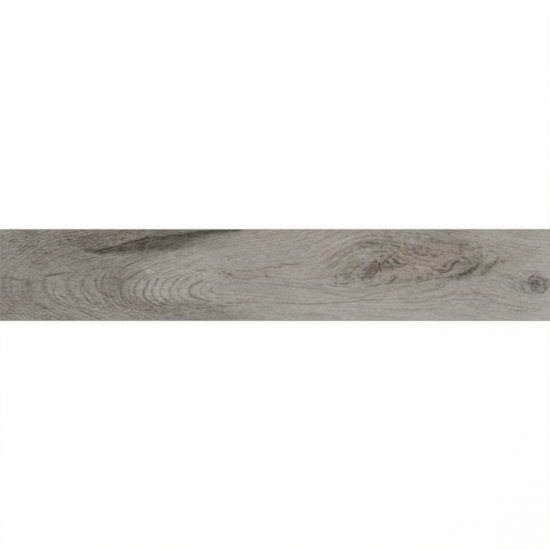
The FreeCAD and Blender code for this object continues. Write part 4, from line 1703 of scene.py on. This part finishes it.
        # Way down from the face, which is longer over a bevel by its slope
        down = np.where(
            z > self.thickness - self.face_bevel,
            (self.thickness - z) * math.sqrt(2),
            self.thickness - z + (math.sqrt(2) - 1) * self.face_bevel,
        )
        uv = np.empty((len(vertex), 2))
        edge = side == Side.EDGE.value
        start, span = self.map_length
        for which, (foot, height) in ((Side.FACE, self.map_face), (Side.BACK, self.map_back)):
            chosen = side == which.value
            uv[chosen] = np.column_stack([start + span * along, foot + height * across])[chosen]
        for facing, (start, span), run, height in (
            (-towards[:, 1], self.map_length, along, self.map_near),
            (towards[:, 1], self.map_length, along, self.map_far),
            (-towards[:, 0], self.map_left, across, self.map_ends),
            (towards[:, 0], self.map_right, across, self.map_ends),
        ):
            chosen = edge & (facing > 0.5)
            strip = np.column_stack([start + span * run, height - self.map_drop * down])
            uv[chosen] = strip[chosen]
        layer = mesh.uv_layers.new(name=BAKE_MAP)
        layer.data.foreach_set("uv", uv.astype(np.float32).ravel())


@dataclass(frozen=True)
class Studio:
    """Pale floor, even soft light and a camera straight above the tile.

    The floor's drop, the frame's width and the camera's floor are millimetres, and so are the
    lens and the sensor. The floor's size, the lamp and the camera's far end are metres.
    """

    floor_size: float = 40.0
    floor_drop: float = 0.2
    floor_colour: str = "FFFFFF"
    glow: float = 0.85
    world_colour: str = "FFFFFF"
    world_strength: float = 0.76
    lamp_watts: float = 40.0
    lamp_size: float = 3.0
    lamp_place: tuple[float, float, float] = (-1.2, 1.6, 3.2)
    lens: float = 180.0
    sensor: float = 36.0
    frame_width: float = 1198.4
    camera_floor: float = 9.0
    far_end: float = 100.0

    def build(self) -> None:
        """Makes the floor, the world, the lamp and the camera."""
        self.lay_floor()
        self.light()
        self.place_camera()

    def lay_floor(self) -> None:
        """Lays a pale floor that glows a little to the camera, and keeps the tile's shadow."""
        deselect_all()
        bpy.ops.mesh.primitive_plane_add(
            size=self.floor_size, location=(0.0, 0.0, -self.floor_drop * MM),
        )
        floor = bpy.context.object
        floor.name = "floor"
        material, tree, shader = start_material("pale_floor")
        tree.nodes.remove(shader)
        white = linear(self.floor_colour)
        matt = node(tree, "ShaderNodeBsdfDiffuse", {0: white})
        shine = node(tree, "ShaderNodeEmission", {0: white, 1: 1.0})
        ray = node(tree, "ShaderNodeLightPath")
        seen = ray.outputs["Is Camera Ray"]
        for other in ("Is Glossy Ray", "Is Transmission Ray"):
            seen = node(tree, MATH, {0: seen, 1: ray.outputs[other]}, operation="MAXIMUM")
        share = node(tree, MATH, {0: seen, 1: self.glow}, operation="MULTIPLY")
        feed(tree, tree.nodes["Material Output"], {
            "Surface": node(tree, "ShaderNodeMixShader", {0: share, 1: matt, 2: shine}),
        })
        floor.data.materials.append(material)

    def light(self) -> None:
        """Lights the tile evenly, with a little more from the upper left."""
        world = bpy.data.worlds.new("soft_room")
        world.use_nodes = True
        feed(world.node_tree, world.node_tree.nodes["Background"], {
            "Color": linear(self.world_colour), "Strength": self.world_strength,
        })
        bpy.context.scene.world = world
        bpy.ops.object.light_add(type="AREA", location=self.lamp_place)
        lamp = bpy.context.object
        lamp.name = "soft_box"
        lamp.data.energy = self.lamp_watts
        lamp.data.size = self.lamp_size
        to_tile = -Vector(self.lamp_place)
        lamp.rotation_euler = to_tile.to_track_quat("-Z", "Y").to_euler()

    def place_camera(self) -> None:
        """Hangs the camera over the tile's centre, with the tile's length across the frame."""
        height = self.lens / self.sensor * self.frame_width + self.camera_floor
        bpy.ops.object.camera_add(location=(0.0, 0.0, height * MM), rotation=(0.0, 0.0, 0.0))
        camera = bpy.context.object
        camera.name = "overhead_camera"
        camera.data.lens = self.lens
        camera.data.sensor_width = self.sensor
        camera.data.clip_end = self.far_end
        bpy.context.scene.camera = camera
        bpy.context.scene.view_settings.view_transform = "Standard"


def main() -> None:
    """Builds the tile and its studio, and reports each piece."""
    logging.basicConfig(level=logging.INFO, format="%(name)s: %(message)s")
    tile = TileBody().build()
    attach(tile, BODY)
    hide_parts(NODE)
    triangles = sum(len(p.vertices) - 2 for p in tile.data.polygons)
    box = [round(v, 5) for v in tile.dimensions]
    log.info("%s: %d triangles, box %s", tile.name, triangles, box)
    Studio().build()
    log.info("studio: floor, lamp and camera")


if __name__ == "__main__":
    main()
